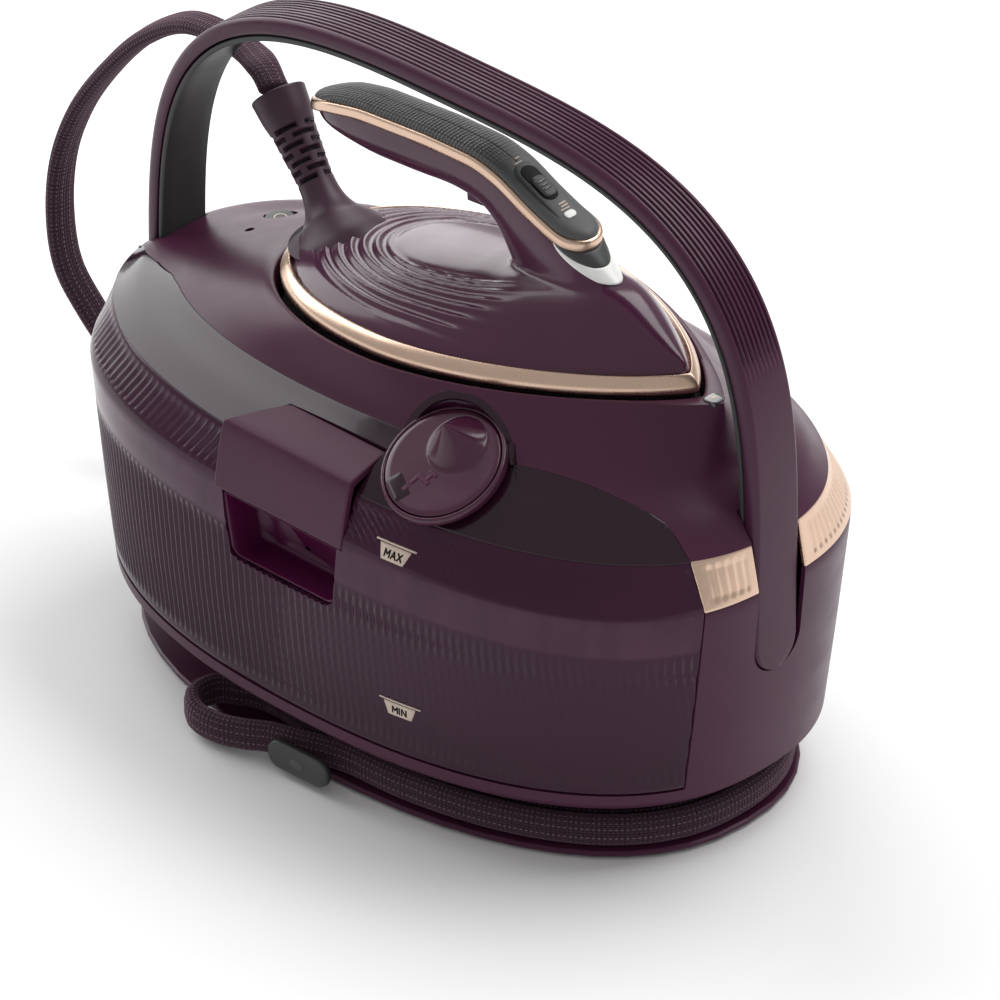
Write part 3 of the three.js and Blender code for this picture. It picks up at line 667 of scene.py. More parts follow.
def fluted_band(name, start, stop, count):
    """The trim's metal band: a smooth frame round a field of upright flutes. Its ends stay at one y."""
    z = np.concatenate([np.linspace(147.2, 150, 5), np.linspace(150.5, 154, 9), np.linspace(155, 163, 6),
                        np.linspace(163.6, 167.2, 9), np.linspace(167.8, 169.9, 4)])
    rows = []
    for h in z:
        t = np.linspace(angle_at_y(*start, h), angle_at_y(*stop, h), count)
        rows.append(wall(t, h))
    run = np.concatenate([[0], np.cumsum(np.linalg.norm(np.diff(rows[len(z) // 2], axis=0), axis=1))])
    rows = np.stack(rows, axis=1)
    n = grid_normals(rows)
    if (n[..., :2] * rows[..., :2]).sum(-1).mean() < 0:
        n = -n
    field = smoothstep(z, 149.2, 152.4) * (1 - smoothstep(z, 164.8, 168.2))
    ends = smoothstep(run, 2.6, 5.2) * (1 - smoothstep(run, run[-1] - 5.2, run[-1] - 2.6))
    flute = 0.5 - 0.5 * np.cos(run / 4.6 * TAU)
    sink = -(0.1 + 0.5 * flute)[:, None] * field[None] * ends[:, None]
    rows = rows + n * sink[..., None]
    sign = 1 if (grid_normals(rows)[..., :2] * rows[..., :2]).sum() > 0 else -1
    obj = surface(name, lips(rows, 0.9, 1.2, sign), [GOLD])
    return obj


def angle_at_y(y, side, z=158.0):
    """The wall's angle where it crosses a given y, on the right (1) or the left (-1)."""
    _, b, n = wall_shape(z)
    s = math.copysign((abs(y) / b) ** (n / 2), y)
    t = math.asin(s)
    return t if side > 0 else math.pi - t


def make_bands():
    front = fluted_band("gold_band_front", (-45.4, 1), (-16.6, 1), 120)
    place(front, "station", "gold_trim", "trim_band_front")
    rear = fluted_band("gold_band_rear", (16.6, 1), (16.6, -1), 1500)
    place(rear, "station", "gold_trim", "trim_band_rear")


# ---------------------------------------------------------------- deck and lid
def seam_at(t):
    """How far up the dome the lid reaches: the seam, or further where the door's lobe stands over it."""
    left = np.interp(t - math.pi, [0.147, 0.2, 0.28, 0.38, 0.5, 0.62], [0.1, 0.6, 1.1, 1.6, 1.92, 2.0])
    right = np.interp(t, [5.38, 5.47, 5.55, 5.62, 5.7, 5.78, 5.846, 5.88, 5.905],
                      [2.0, 1.95, 1.86, 1.74, 1.57, 1.34, 1.02, 0.66, 0.15])
    s = np.minimum(left, right)
    normal = DOOR_TURN @ np.array([0, 0, 1.0])
    for step in np.linspace(2.0, 2.9, 120):
        p = dome(t, step) - DOOR_AT
        off = p - (p @ normal)[:, None] * normal
        s = np.where(np.linalg.norm(off, axis=1) < 34, step, s)
    return s


def lid_row(t_count, s_of):
    """One row of the lid: even angles across the front, at a height given by s_of(t)."""
    low, high = front_range(lambda t: dome(t, s_of(t)))
    t = np.linspace(low, high, t_count)
    return dome(t, s_of(t))


POWER_AT, LAMP_AT = (-150, 27), (-146, 2)


def make_deck():
    t = np.linspace(0, TAU, 481)[:-1]
    rows = [dome(t, s) for s in np.concatenate([np.linspace(0, 2, 12), np.linspace(2.1, 3, 12)])]
    for by, nose, drop in ((4.2, 9.6, -2.3), (3.4, 2.0, -2.4), (2.6, 0, -3.2), (1.8, 0, -6), (1.6, 0, -24)):
        flat = iron_outline(t, by, nose)
        rows.append(iron_frame(np.column_stack([flat, np.full(len(t), drop - 0.6)])))
    obj = surface("deck", np.stack(rows, axis=1), [SATIN], closed_u=True)
    thicken(obj, 2.4)
    low, high = front_range(lambda a: dome(a, seam_at(a)), 0)
    edge_t = np.linspace(low, high, 500)
    edge = dome(edge_t, seam_at(edge_t))[:, :2]
    polygon = [tuple(p) for p in edge] + [(240, -46), (240, -160), (-240, -160), (-240, -20.5)]
    boolean(obj, prism("cut", polygon, 100, 260), *leg_cutters())
    for (x, y), radius in ((POWER_AT, 8.4), (LAMP_AT, 2.4)):
        boolean(obj, prism("cut", circle(radius, 40, x, y), 165, 200))
    place(crisp(obj, 34), "station", "satin_plastic", "deck_cover")


def make_deck_trim():
    block("power_key", circle(7.8, 32), 7.6, 0.9, GREY, lambda p: p + [*POWER_AT, 177.6],
          "power_button", "dark_plastic", "power_button")
    ring = [(3.4 * math.cos(a), 3.4 * math.sin(a)) for a in np.linspace(0.5, TAU - 0.5, 28)]
    ring += [(2.6 * x / 3.4, 2.6 * y / 3.4) for x, y in reversed(ring)]
    verts = [(x + POWER_AT[0], y + POWER_AT[1], z) for z in (185.2, 185.46) for x, y in ring]
    n = len(ring)
    faces = [(i, (i + 1) % n, n + (i + 1) % n, n + i) for i in range(n)] + \
        [(n + i, n + i + 1, n + n - 2 - i, n + n - 1 - i) for i in range(n // 2 - 1)]
    place(mesh("power_mark", verts, faces, [BEIGE]), "power_button", "dark_plastic")
    block("status_lens", circle(1.9, 16), 6.4, 0.7, AMBER, lambda p: p + [*LAMP_AT, 179.5],
          "station", "amber_lens", "status_light")
    block("lock_key", rounded(8.2, 9.0, 2.2), 7.9, 0.7, GLOSS_GREY, lambda p: iron_frame(p + [136, 0, -9.9]),
          "carry_lock_button", "dark_plastic", "carry_lock_button")
    block("lock_mark", rounded(2.2, 3.4, 0.9), 0.2, 0.08, BEIGE, lambda p: iron_frame(p + [136, 0, -1.98]),
          "carry_lock_button", "dark_plastic")


def make_inner_cover():
    """The part of the tank's top that lies hidden under the deck, from the lid's edge to the rear wall."""
    low, high = front_range(lambda t: dome(t, seam_at(t)))
    t = np.linspace(low + 0.01, high - 0.01, 240)
    edge = dome(t, np.maximum(seam_at(t) - 0.05, 0.0)) - [0, 0, 2.9]
    back = np.interp(edge[:, 0], OUTLINE_X, OUTLINE_Y) - 1.2
    rows = []
    for f in np.linspace(0, 1, 14):
        y = edge[:, 1] + (np.maximum(back, edge[:, 1] + 0.5) - edge[:, 1]) * f
        rows.append(np.column_stack([edge[:, 0], y, edge[:, 2] + (167.5 - edge[:, 2]) * f]))
    obj = surface("tank_inner_cover", np.stack(rows, axis=1), [SMOKE])
    place(thicken(obj, 1.0), "tank", "smoke_plastic")


PAD = {"left": -49.5, "right": 34.0, "back_left": -28.0, "back": -89.5, "shoulder": -113.0}


def pad_cutter(grow):
    left, right, back = PAD["left"] - grow, PAD["right"] + grow, PAD["back"] + grow
    outline = [(left, -150), (right, -150), (right, back), (PAD["back_left"] - grow, back),
               (left, PAD["shoulder"] + grow)]
    return prism("cut", outline, 142.8, 200)


def door_well(radius, depth):
    rings = [door_ring(radius, -depth), door_ring(radius, 40)]
    return surface("cut", np.stack(rings, axis=1), closed_u=True, caps=True)


def make_lid():
    gap = 0.018
    count = 600
    rows = []
    for f in np.concatenate([[0.0, 0.02, 0.05], np.linspace(0.1, 1, 20)]):
        rows.append(lid_row(count, lambda t, f=f: (seam_at(t) - gap) * f))
    p = lips(np.stack(rows, axis=1), 0.7, 1.6)
    obj = surface("lid", p, [LID])
    thicken(obj, 1.2)
    boolean(obj, pad_cutter(0.6), door_well(30.6, 0.2))
    place(crisp(obj, 34), "tank", "smoke_plastic", "tank_lid")
    profile = [(13.8, -0.2), (13.8, 1.8), (28.6, 1.9), (29.3, 2.2), (29.4, 3.2), (29.45, 4.1), (29.7, 4.6),
               (30.2, 4.8), (31.0, 4.6), (31.5, 3.9), (31.6, 0.6), (31, -0.2)]
    seat = [door_ring(r, z) for r, z in profile]
    ring = surface("door_seat", np.stack(seat, axis=1), [DOOR], closed_u=True, closed_v=True)
    place(ring, "tank", "smoke_plastic")


def make_pad():
    profile = spline([(-89.5, 184.3), (-98, 182.2), (-106, 179.8), (-111.4, 177.9), (-113.4, 176.4),
                      (-114.5, 174.0), (-116.4, 167.5), (-118.5, 157), (-120.8, 143.8)], 60)
    y, z = profile[:, 0], profile[:, 1]
    left = np.interp(-y, [-PAD["back"], -PAD["shoulder"]], [PAD["back_left"], PAD["left"]])
    across = (1 - np.cos(np.linspace(0, math.pi, 60))) / 2
    rows = [np.column_stack([left + (PAD["right"] - left) * f, y, z]) for f in across]
    p = np.array(rows)
    n = grid_normals(p)
    sign = 1 if n[..., 2].mean() > 0 else -1
    middle = p.mean((0, 1))
    p = middle + (p - middle) * [0.975, 0.97, 0.98] - n * sign * 0.5
    obj = surface("release_pad", lips(p, 1.0, 2.4, sign), [SATIN])
    place(obj, "tank", "satin_plastic", "tank_release_pad")


def make_door():
    a = np.linspace(0, TAU, 96, endpoint=False)
    tip = np.array([1.0, 11.0])  # where the tab's point stands
    disc = [(11, -3.6), (11.0, 1.9), (26.6, 2.4), (28.3, 2.8), (28.8, 3.4), (28.9, 4.6), (28.4, 5.2)]
    rows = [door_ring(r, z) for r, z in disc]
    for f in np.linspace(0.04, 1, 34) ** 0.9:
        radius = 28.0 * (1 - f)
        flat = np.column_stack([radius * np.cos(a), radius * np.sin(a)]) + tip * f
        far = np.linalg.norm(flat - tip, axis=1)
        hump = 18.5 * np.clip(1 - far / 15.0, 0, 1) ** 1.2
        rows.append(door_frame(np.column_stack([flat, 5.3 + hump * smoothstep(28.2 - radius, 0, 3)])))
    obj = surface("filler_cap", np.stack(rows, axis=1), [DOOR], closed_u=True, caps=True)
    place(obj, "filler_door", "smoke_plastic", "filler_door")
    hinge_turn = rotation("Z", -30)
    block("door_hinge", rounded(15, 9.0, 1.6), 2.4, 0.7, LID,
          lambda p: door_frame((p + [0, -23.4, 3.05]) @ hinge_turn.T), "filler_door", "smoke_plastic")
    marks = [(0, -3.5, 9, 2.2), (-3.2, -6.6, 2.2, 5.0), (1.6, -0.6, 2.0, 4.4), (1.6, 1.6, 5.6, 1.8),
             (-3.2, -12.2, 2.4, 3.4)]
    turn = rotation("Z", -14)
    for i, (x, y, w, h) in enumerate(marks):
        block(f"tap_mark_{i}", rounded(w, h, min(w, h) * 0.35, 3), 0.4, 0.15, RECESS,
              lambda p, x=x, y=y: door_frame((p + [x, y - 8.4, 5.2]) @ turn.T), "filler_door", "smoke_plastic")


# ---------------------------------------------------------------- tank
def make_tank():
    count = 1500
    z = np.concatenate([[44.4, 44.7, 45.4], np.linspace(47, 51, 4), np.linspace(54, 108, 10),
                        np.linspace(111, 115, 4), [119, 123, 124.4, 125.6, 128, 134, 142, 145.4, 146.6, 147.8],
                        np.linspace(149, 152, 4), np.linspace(154.5, 164, 5), np.linspace(166, 168.6, 3),
                        [169.5, 169.9]])
    edge = np.interp(z, [44.4, 44.7, 45.4, 47], [1.6, 0.7, 0.15, 0])
    edge = np.where(z > 169.2, np.interp(z, [169.2, 169.9], [0, 0.5]), edge)
    lower = smoothstep(z, 49, 53) * (1 - smoothstep(z, 118, 124))
    collar = smoothstep(z, 149.5, 153) * (1 - smoothstep(z, 164, 168))
    step = 0.35 * (smoothstep(z, 123.2, 124.6) - smoothstep(z, 125.4, 127)) + \
        0.5 * (smoothstep(z, 145.6, 146.6) - smoothstep(z, 147, 148.4))
    rows = []
    for k, height in enumerate(z):
        low, high = front_range(lambda t: wall(t, height))
        t = np.linspace(low, high, count)
        p = wall(t, height, edge[k])
        run = np.concatenate([[0], np.cumsum(np.linalg.norm(np.diff(p, axis=0), axis=1))])
        rib = 0.55 * lower[k] * np.cos(run / 4.3 * TAU)
        strong = 0.55 + 0.45 * np.sin(run / 37.0) * np.sin(run / 11.0 + 1.0)
        ridge = 0.55 * collar[k] * strong * np.cos(run / 5.2 * TAU)
        out = p[:, :2] / np.linalg.norm(p[:, :2], axis=1, keepdims=True)
        inward = 0.45 * (lower[k] + collar[k]) + step[k]
        p[:, :2] += out * (rib + ridge - inward)[:, None]
        back = np.array([(min(170, p[-1, 0] - 1), -46.4), (150, -42.4), (0, -42.4), (-156, -42.4),
                         (max(-182, p[0, 0] + 1), -20.9)], float)
        back = np.column_stack([back, np.full(len(back), height)])
        rows.append(np.concatenate([p, back]))
    obj = surface("tank_wall", np.stack(rows, axis=1), [SMOKE], closed_u=True)
    bm = bmesh.new()
    bm.from_mesh(obj.data)
    low_edge = [e for e in bm.edges if e.is_boundary and all(v.co.z < 0.0445 for v in e.verts)]
    bmesh.ops.contextual_create(bm, geom=low_edge)
    bmesh.ops.recalc_face_normals(bm, faces=bm.faces)
    bm.to_mesh(obj.data)
    bm.free()
    obj.data.polygons.foreach_set("use_smooth", [True] * len(obj.data.polygons))
    thicken(obj, 2.2)
    quarter = np.linspace(0, math.pi / 2, 7)
    hole = [(-45, 143.2), (-42.4, 124)] + \
        [(-34 - 6.8 * math.cos(a), 116 - 7.4 * math.sin(a)) for a in quarter] + \
        [(22 + 7 * math.sin(a), 116 - 7.4 * math.cos(a)) for a in quarter] + [(31, 143.2)]
    boolean(obj, prism("cut", hole, -150, -95, axis=1), pad_cutter(0.4))
    place(crisp(obj, 40), "tank", "smoke_plastic", "tank_shell")

    rim = np.array(hole)
    middle = rim.mean(0)
    rows = []
    for f, y in [(1.0, -117.6), (0.985, -116.8), (0.97, -114), (0.95, -108), (0.92, -102), (0.87, -99.2),
                 (0.6, -98.3), (0.05, -98.0)]:
        q = middle + (rim - middle) * f
        rows.append(np.column_stack([q[:, 0], np.full(len(q), y), q[:, 1].clip(None, 141.4)]))
    cup = surface("recess_cup", np.stack(rows, axis=1), [RECESS], closed_u=True)
    place(thicken(cup, 1.0), "tank", "aubergine_plastic", "finger_recess")


def wall_mark(name, outline, x0, z0, material, proud=0.12):
    """A thin printed mark on the tank's wall, over an outline of x and z about a point."""
    outline = np.array(outline, float)
    dense = []
    for p, q in zip(outline, np.roll(outline, -1, 0)):
        dense += [p + (q - p) * f for f in np.linspace(0, 1, 6, endpoint=False)]
    centre = np.mean(dense, 0)
    rows = []
    for scale, out in ((1.0, -0.5), (1.0, proud), (0.55, proud), (0.02, proud)):
        flat = centre + (np.array(dense) - centre) * scale
        points = []
        for x, z in flat:
            a, b, n = wall_shape(z + z0)
            y = -b * (1 - (abs(x + x0) / a) ** n) ** (1 / n)
            points.append((x + x0, y - out, z + z0))
        rows.append(points)
    obj = surface(name, np.stack(rows, axis=1), [material], closed_u=True, caps=True)
    return place(obj, "tank", "smoke_plastic")


def make_marks():
    """The generic MAX and MIN level marks: a line with a cup under it, and the word in strokes."""
    strokes = {"M": [[(0, 0), (0, 4), (1.6, 1.6), (3.2, 4), (3.2, 0)]],
               "A": [[(0, 0), (1.5, 4), (3, 0)], [(0.6, 1.4), (2.4, 1.4)]],
               "X": [[(0, 0), (3, 4)], [(0, 4), (3, 0)]],
               "I": [[(0, 0), (0, 4)]], "N": [[(0, 0), (0, 4), (2.8, 0), (2.8, 4)]]}
    advance = {"M": 4.5, "A": 4.1, "X": 4.1, "I": 1.6, "N": 4.0}
    line = [(-11.5, 2.7), (11.5, 2.7), (11.5, 3.4), (-11.5, 3.4)]
    cup = [(8.9, 2.1), (6.4, -4.7), (-6.4, -4.7), (-8.9, 2.1)]
    for word, x0, z0 in (("MAX", 64.0, 153.2), ("MIN", 69.0, 70.0)):
        wall_mark(f"{word.lower()}_line", line, x0, z0, BEIGE)
        wall_mark(f"{word.lower()}_cup", cup, x0, z0, BEIGE)
        total = sum(advance[c] for c in word) - 1.0
        pen = -total / 2
        index = 0
        for letter in word:
            for path in strokes[letter]:
                for (xa, za), (xb, zb) in zip(path, path[1:]):
                    d = np.array([xb - xa, zb - za], float)
                    d /= np.linalg.norm(d)
                    side = np.array([-d[1], d[0]]) * 0.42
                    a = (np.array([xa + pen, za - 3.8]) - d * 0.2) * 0.85
                    b = (np.array([xb + pen, zb - 3.8]) + d * 0.2) * 0.85
                    wall_mark(f"{word.lower()}_stroke_{index}", [a - side, b - side, b + side, a + side],
                              x0, z0, BLACK_AND_SLOT_SHADE, proud=0.2)
                    index += 1
            pen += advance[letter]


# ---------------------------------------------------------------- carry handle
ARCH = {"span": 200.3, "base": 153.6, "rise": 182.9, "power": 3.13, "end": 97}
GROOVE_STEP = 2.75  # from one groove on the handle's back to the next


def arch_line(u):
    """Point and outward direction of the handle's outer line, at fractions of its length."""
    span, base, rise, power, end = (ARCH[key] for key in ("span", "base", "rise", "power", "end"))
    u = np.asarray(u, float)
    leg = base - end
    total = leg * 2 + rise * 2.9
    share = leg / total
    side = np.where(u < 0.5, -1, 1)
    v = np.where(u < 0.5, u, 1 - u)
    t = np.clip((v - share) / (0.5 - share), 0, 1) * math.pi / 2
    c, s = np.maximum(np.cos(t), 1e-6), np.maximum(np.sin(t), 1e-6)
    x, z = span * c ** (2 / power), rise * s ** (2 / power)
    gx = (x / span) ** (power - 1) / span
    gz = (z / rise) ** (power - 1) / rise
    g = np.hypot(gx, gz)
    on_leg = v < share
    px = np.where(on_leg, side * span, side * x)
    pz = np.where(on_leg, end + v * total, base + z)
    return px, pz, np.where(on_leg, side, side * gx / g), np.where(on_leg, 0, gz / g)


def arch_stations():
    tips = [0.0004, 0.0012, 0.0025, 0.0045, 0.0075, 0.011, 0.0155, 0.021, 0.0275, 0.034, 0.041]
    fine = np.linspace(0, 1, 1500)
    px, pz, _, _ = arch_line(fine)
    run = np.concatenate([[0], np.cumsum(np.hypot(np.diff(px), np.diff(pz)))])
    middle = np.interp(np.linspace(0.05, 0.95, 300) * run[-1], run, fine)
    middle = middle[(middle > 0.046) & (middle < 0.954)]
    return np.array([*tips, *middle, *[1 - t for t in reversed(tips)]])


def arch_bar(name, r0, r1, half, crown, grooves, material):
    u = arch_stations()
    px, pz, nx, nz = arch_line(u)
    from_end = np.clip((pz - ARCH["end"]) / half, 0, 1)
    w = half * np.sqrt(np.clip(1 - (1 - from_end) ** 2, 0.003, 1))
    across = np.linspace(-1, 1, 121)
    rows = []
    fade = smoothstep(u, 0.214, 0.252) * (1 - smoothstep(u, 0.776, 0.812))
    for i in range(len(u)):
        section = []
        for f in across:
            edge = max(0.0, (abs(f) - 0.80) / 0.20)
            r = r0 + crown * (1 - math.sqrt(max(0.0, 1 - edge ** 2))) * min(1, w[i] / half) + 0.5 * f * f
            y = f
            if grooves:
                k = f * half / GROOVE_STEP
                near = abs(k - round(k))
                if abs(round(k)) <= 4:
                    r += 1.25 * fade[i] * max(0.0, 1 - (near / 0.27) ** 2)
            section.append((r, y * w[i]))
        section += [(r0 + crown + 1.5, w[i]), (r1 - 1.2, w[i])]
        under = np.linspace(0.995, -0.995, 9)
        section += [(r1 if abs(f) < 0.99 else r1 - 0.35, f * w[i] * 0.97) for f in under]
        section += [(r1 - 1.2, -w[i]), (r0 + crown + 1.5, -w[i])]
        rows.append([(px[i] - r * nx[i], y, pz[i] - r * nz[i]) for r, y in section])
    p = np.array(rows)
    faces = grid_faces(p.shape[0], p.shape[1], False, True)
    n = p.shape[1]
    faces += [tuple(range(n))[::-1], tuple(range((len(u) - 1) * n, len(u) * n))]
    obj = mesh(name, p.reshape(-1, 3), faces, [material, GROOVE_SHADE])
    if grooves:
        step = across * half / GROOVE_STEP
        painted_shade = (np.abs(step - np.round(step)) < 0.17) & (np.abs(across) < 0.83)
        for k, face in enumerate(obj.data.polygons):
            i, j = divmod(k, n)
            if i < len(u) - 1 and j < 120 and painted_shade[j] and painted_shade[j + 1] and fade[i] > 0.5:
                face.material_index = 1
    return crisp(fix_normals(obj), 48)


def make_handle():
    shell = arch_bar("handle_arch", 0.0, 8.3, 15.2, 4.6, True, HANDLE)
    place(shell, "station", "aubergine_plastic", "handle_shell")
    liner = arch_bar("handle_lining", 8.4, 12.0, 14.9, 0.5, False, LINER)
    place(liner, "station", "dark_plastic", "handle_liner")


# ---------------------------------------------------------------- iron
CROWN = np.array([[-126, 7], [-112, 11], [-90, 16], [-60, 22], [-25, 27], [10, 31], [45, 36], [75, 40],
                  [88, 36], [100, 27], [113, 15], [124, 7]], float)
RING_LINE = np.array([[-116, 74], [-98, 80], [-76, 83], [-31, 83], [0, 81], [15, 76], [30, 67], [46, 59],
                      [62, 54]], float)


def smooth_curve(keys, x):
    """Heights at x on a softly smoothed line through key points."""
    fine = np.linspace(keys[0, 0], keys[-1, 0], 400)
    y = np.interp(fine, keys[:, 0], keys[:, 1])
    for _ in range(160):
        y[1:-1] = (y[:-2] + 2 * y[1:-1] + y[2:]) / 4
    return np.interp(x, fine, y)


def ring_height(x):
    return smooth_curve(RING_LINE, x)


def make_skirt():
    t = np.linspace(0, TAU, 481)[:-1]
    profile = [(9, -2.9), (3, -3.1), (0.6, -3.0), (0.15, -2.6), (0.0, -2.0), (0.0, 0.4), (0.2, 1.6),
               (1.2, 3.2), (2.6, 4.7), (3.9, 5.7), (4.7, 6.1), (5.2, 6.0), (5.45, 5.4), (9, 4.2)]
    rows = []
    for inset, z in profile:
        rows.append(iron_frame(np.column_stack([iron_outline(t, -inset), np.full(len(t), z)])))
    obj = surface("iron_gold_skirt", np.stack(rows, axis=1), [GOLD], closed_u=True, closed_v=True)
    place(obj, "iron", "gold_trim", "gold_skirt")


def shell_dome():
    t = np.linspace(0, TAU, 721)
    ring = iron_outline(t, -5.7)
    half_x, half_y = ring[:361, 0][::-1], ring[:361, 1][::-1]
    sections = []
    for x in np.linspace(-120.2, 119.4, 150):
        w = max(np.interp(x, half_x, half_y) + 0.25, 0.4)
        h = max(0.3, smooth_curve(CROWN, x) - 3.4)
        peak = 1.7 + 1.1 * smoothstep(x, 15, 75)
        a = np.linspace(0, math.pi, 49)
        c = np.cos(a)
        sections.append(np.column_stack([np.full(49, x), w * np.sign(c) * np.abs(c) ** 0.8,
                                         3.4 + h * np.sin(a) ** peak]))
    p = np.stack(sections)
    faces = grid_faces(150, 49, False, True)
    faces += [tuple(range(49))[::-1], tuple(range(149 * 49, 150 * 49))]
    return fix_normals(mesh("dome", p.reshape(-1, 3), faces))


def grip_body():
    """The grip's lower shell and its front pillar, as sections between an upper and a lower line."""
    upper = [(-115.5, 73.6), (-98, 79.4), (-76, 82.2), (-31, 82.4), (0, 80.2), (15, 75.2), (30, 66.5),
             (46, 58.6), (61, 53.6), (72, 43), (84, 34.5), (95, 26)]
    lower = [(-115, 72.4), (-103, 66), (-78, 61), (-48, 59.6), (-20, 59.8), (-4, 56.4), (4.5, 49), (9, 40),
             (13, 31), (20, 20), (26, 14), (30, 10)]
    width = [(2, 0), (9.5, 0), (12.2, 0), (12.4, 0), (12.4, 0), (12.2, 0), (12, 0.1), (12.2, 0.3),
             (12.6, 0.8), (13.2, 1), (15, 1), (18, 1)]
    line = spline(np.hstack([upper, lower, width]), 110)
    rows = []
    v = np.linspace(0, 1, 26)
    for ux, uz, lx, lz, w, top in line:
        low = np.clip(1 - (1 - np.clip(v / 0.62, 0, 1)) ** 2.2, 0, 1) ** (1 / 2.2)
        high = np.clip(1 - np.clip((v - 0.62) / 0.38, 0, 1) ** 2.4, 0.0, 1) ** (1 / 2.4)
        y = w * low * (1 - top + top * high) + 0.05
        x, z = lx + (ux - lx) * v, lz + (uz - lz) * v
        right = np.column_stack([x, y, z])
        left = np.column_stack([x, -y, z])[::-1]
        rows.append(np.concatenate([right, left]))
    p = np.stack(rows)
    faces = grid_faces(p.shape[0], p.shape[1], False, True)
    n = p.shape[1]
    faces += [tuple(range(n))[::-1], tuple(range((p.shape[0] - 1) * n, p.shape[0] * n))]
    return fix_normals(mesh("grip", p.reshape(-1, 3), faces))


def make_shell():
    base, grip = shell_dome(), grip_body()
    bm = bmesh.new()
    bm.from_mesh(base.data)
    bm.from_mesh(grip.data)
    bm.to_mesh(base.data)
    bm.free()
    bpy.data.objects.remove(grip)
    base.name = "iron_body"
    mod = base.modifiers.new("blend", "REMESH")
    mod.mode, mod.voxel_size = "VOXEL", 1.25 * MM
    mod = base.modifiers.new("soften", "SMOOTH")
    mod.factor, mod.iterations = 0.5, 9
    baked(base)
    co = np.empty(len(base.data.vertices) * 3)
    base.data.vertices.foreach_get("co", co)
    co = co.reshape(-1, 3) / MM
    normal = np.empty(len(base.data.vertices) * 3)
    base.data.vertices.foreach_get("normal", normal)
    normal = normal.reshape(-1, 3)
    x, y, z = co.T
    widest = 126 - 0.57 * 252
    reach = np.where(x > widest, 150.0, 103.0)
    rho = np.sqrt(((x - widest) / reach) ** 2 + (y / 61.5) ** 2)
    window = smoothstep(rho, 0.40, 0.47) * (1 - smoothstep(rho, 0.86, 0.90)) * (1 - smoothstep(x, 8, 42))
    window *= (normal[:, 2] > 0.15) * (z < 40) * (1 - smoothstep(np.hypot(x + 108, y) * -1, -17, -13))
    phase = rho * 61.5 / 4.6
    ridge = (0.5 + 0.5 * np.cos(phase * TAU)) ** 1.6
    plateau = 1 - smoothstep(rho, 0.38, 0.46)
    lift = window * (ridge * 1.35 - 0.65)
    lift += 0.7 * plateau * (1 - smoothstep(x, 0, 20)) * (z < 40) * (normal[:, 2] > 0.3)
    co += normal * lift[:, None]
    base.data.vertices.foreach_set("co", (iron_frame(co) * MM).ravel())
    base.data.materials.clear()
    base.data.materials.append(SHELL)
    base.data.polygons.foreach_set("use_smooth", [True] * len(base.data.polygons))
    place(base, "iron", "satin_plastic", "iron_shell")


def grip_loop(x, shrink, half):
    """Half widths of the grip in plan at x, rounded at both ends and drawn in by shrink."""
    x0, x1 = -116 + shrink, 63.5 - shrink
    rear = 1 - np.clip((x - x0) / 26, 0, 1)
    front = 1 - np.clip((x1 - x) / 13, 0, 1)
    return (half - shrink) * np.sqrt(np.clip(1 - rear ** 2, 0, 1)) * np.sqrt(np.clip(1 - front ** 2, 0, 1))


def grip_layers(name, layers, half, material):
    """A solid over the ring line: layers are (shrink, height over the line), from the bottom up."""
    rings = []
    for shrink, high in layers:
        x0, x1 = -116 + shrink, 63.5 - shrink
        f = (1 - np.cos(np.linspace(0, math.pi, 140))) / 2
        x = x0 + (x1 - x0) * f
        y = grip_loop(x, shrink, half)
        z = ring_height(x) + high
        lean = 0.22 * high
        right = np.column_stack([x + lean, y, z])
        left = np.column_stack([x + lean, -y, z])[::-1][1:-1]
        rings.append(iron_frame(np.concatenate([right, left])))
    return surface(name, np.stack(rings, axis=1), [material], closed_u=True, caps=True)


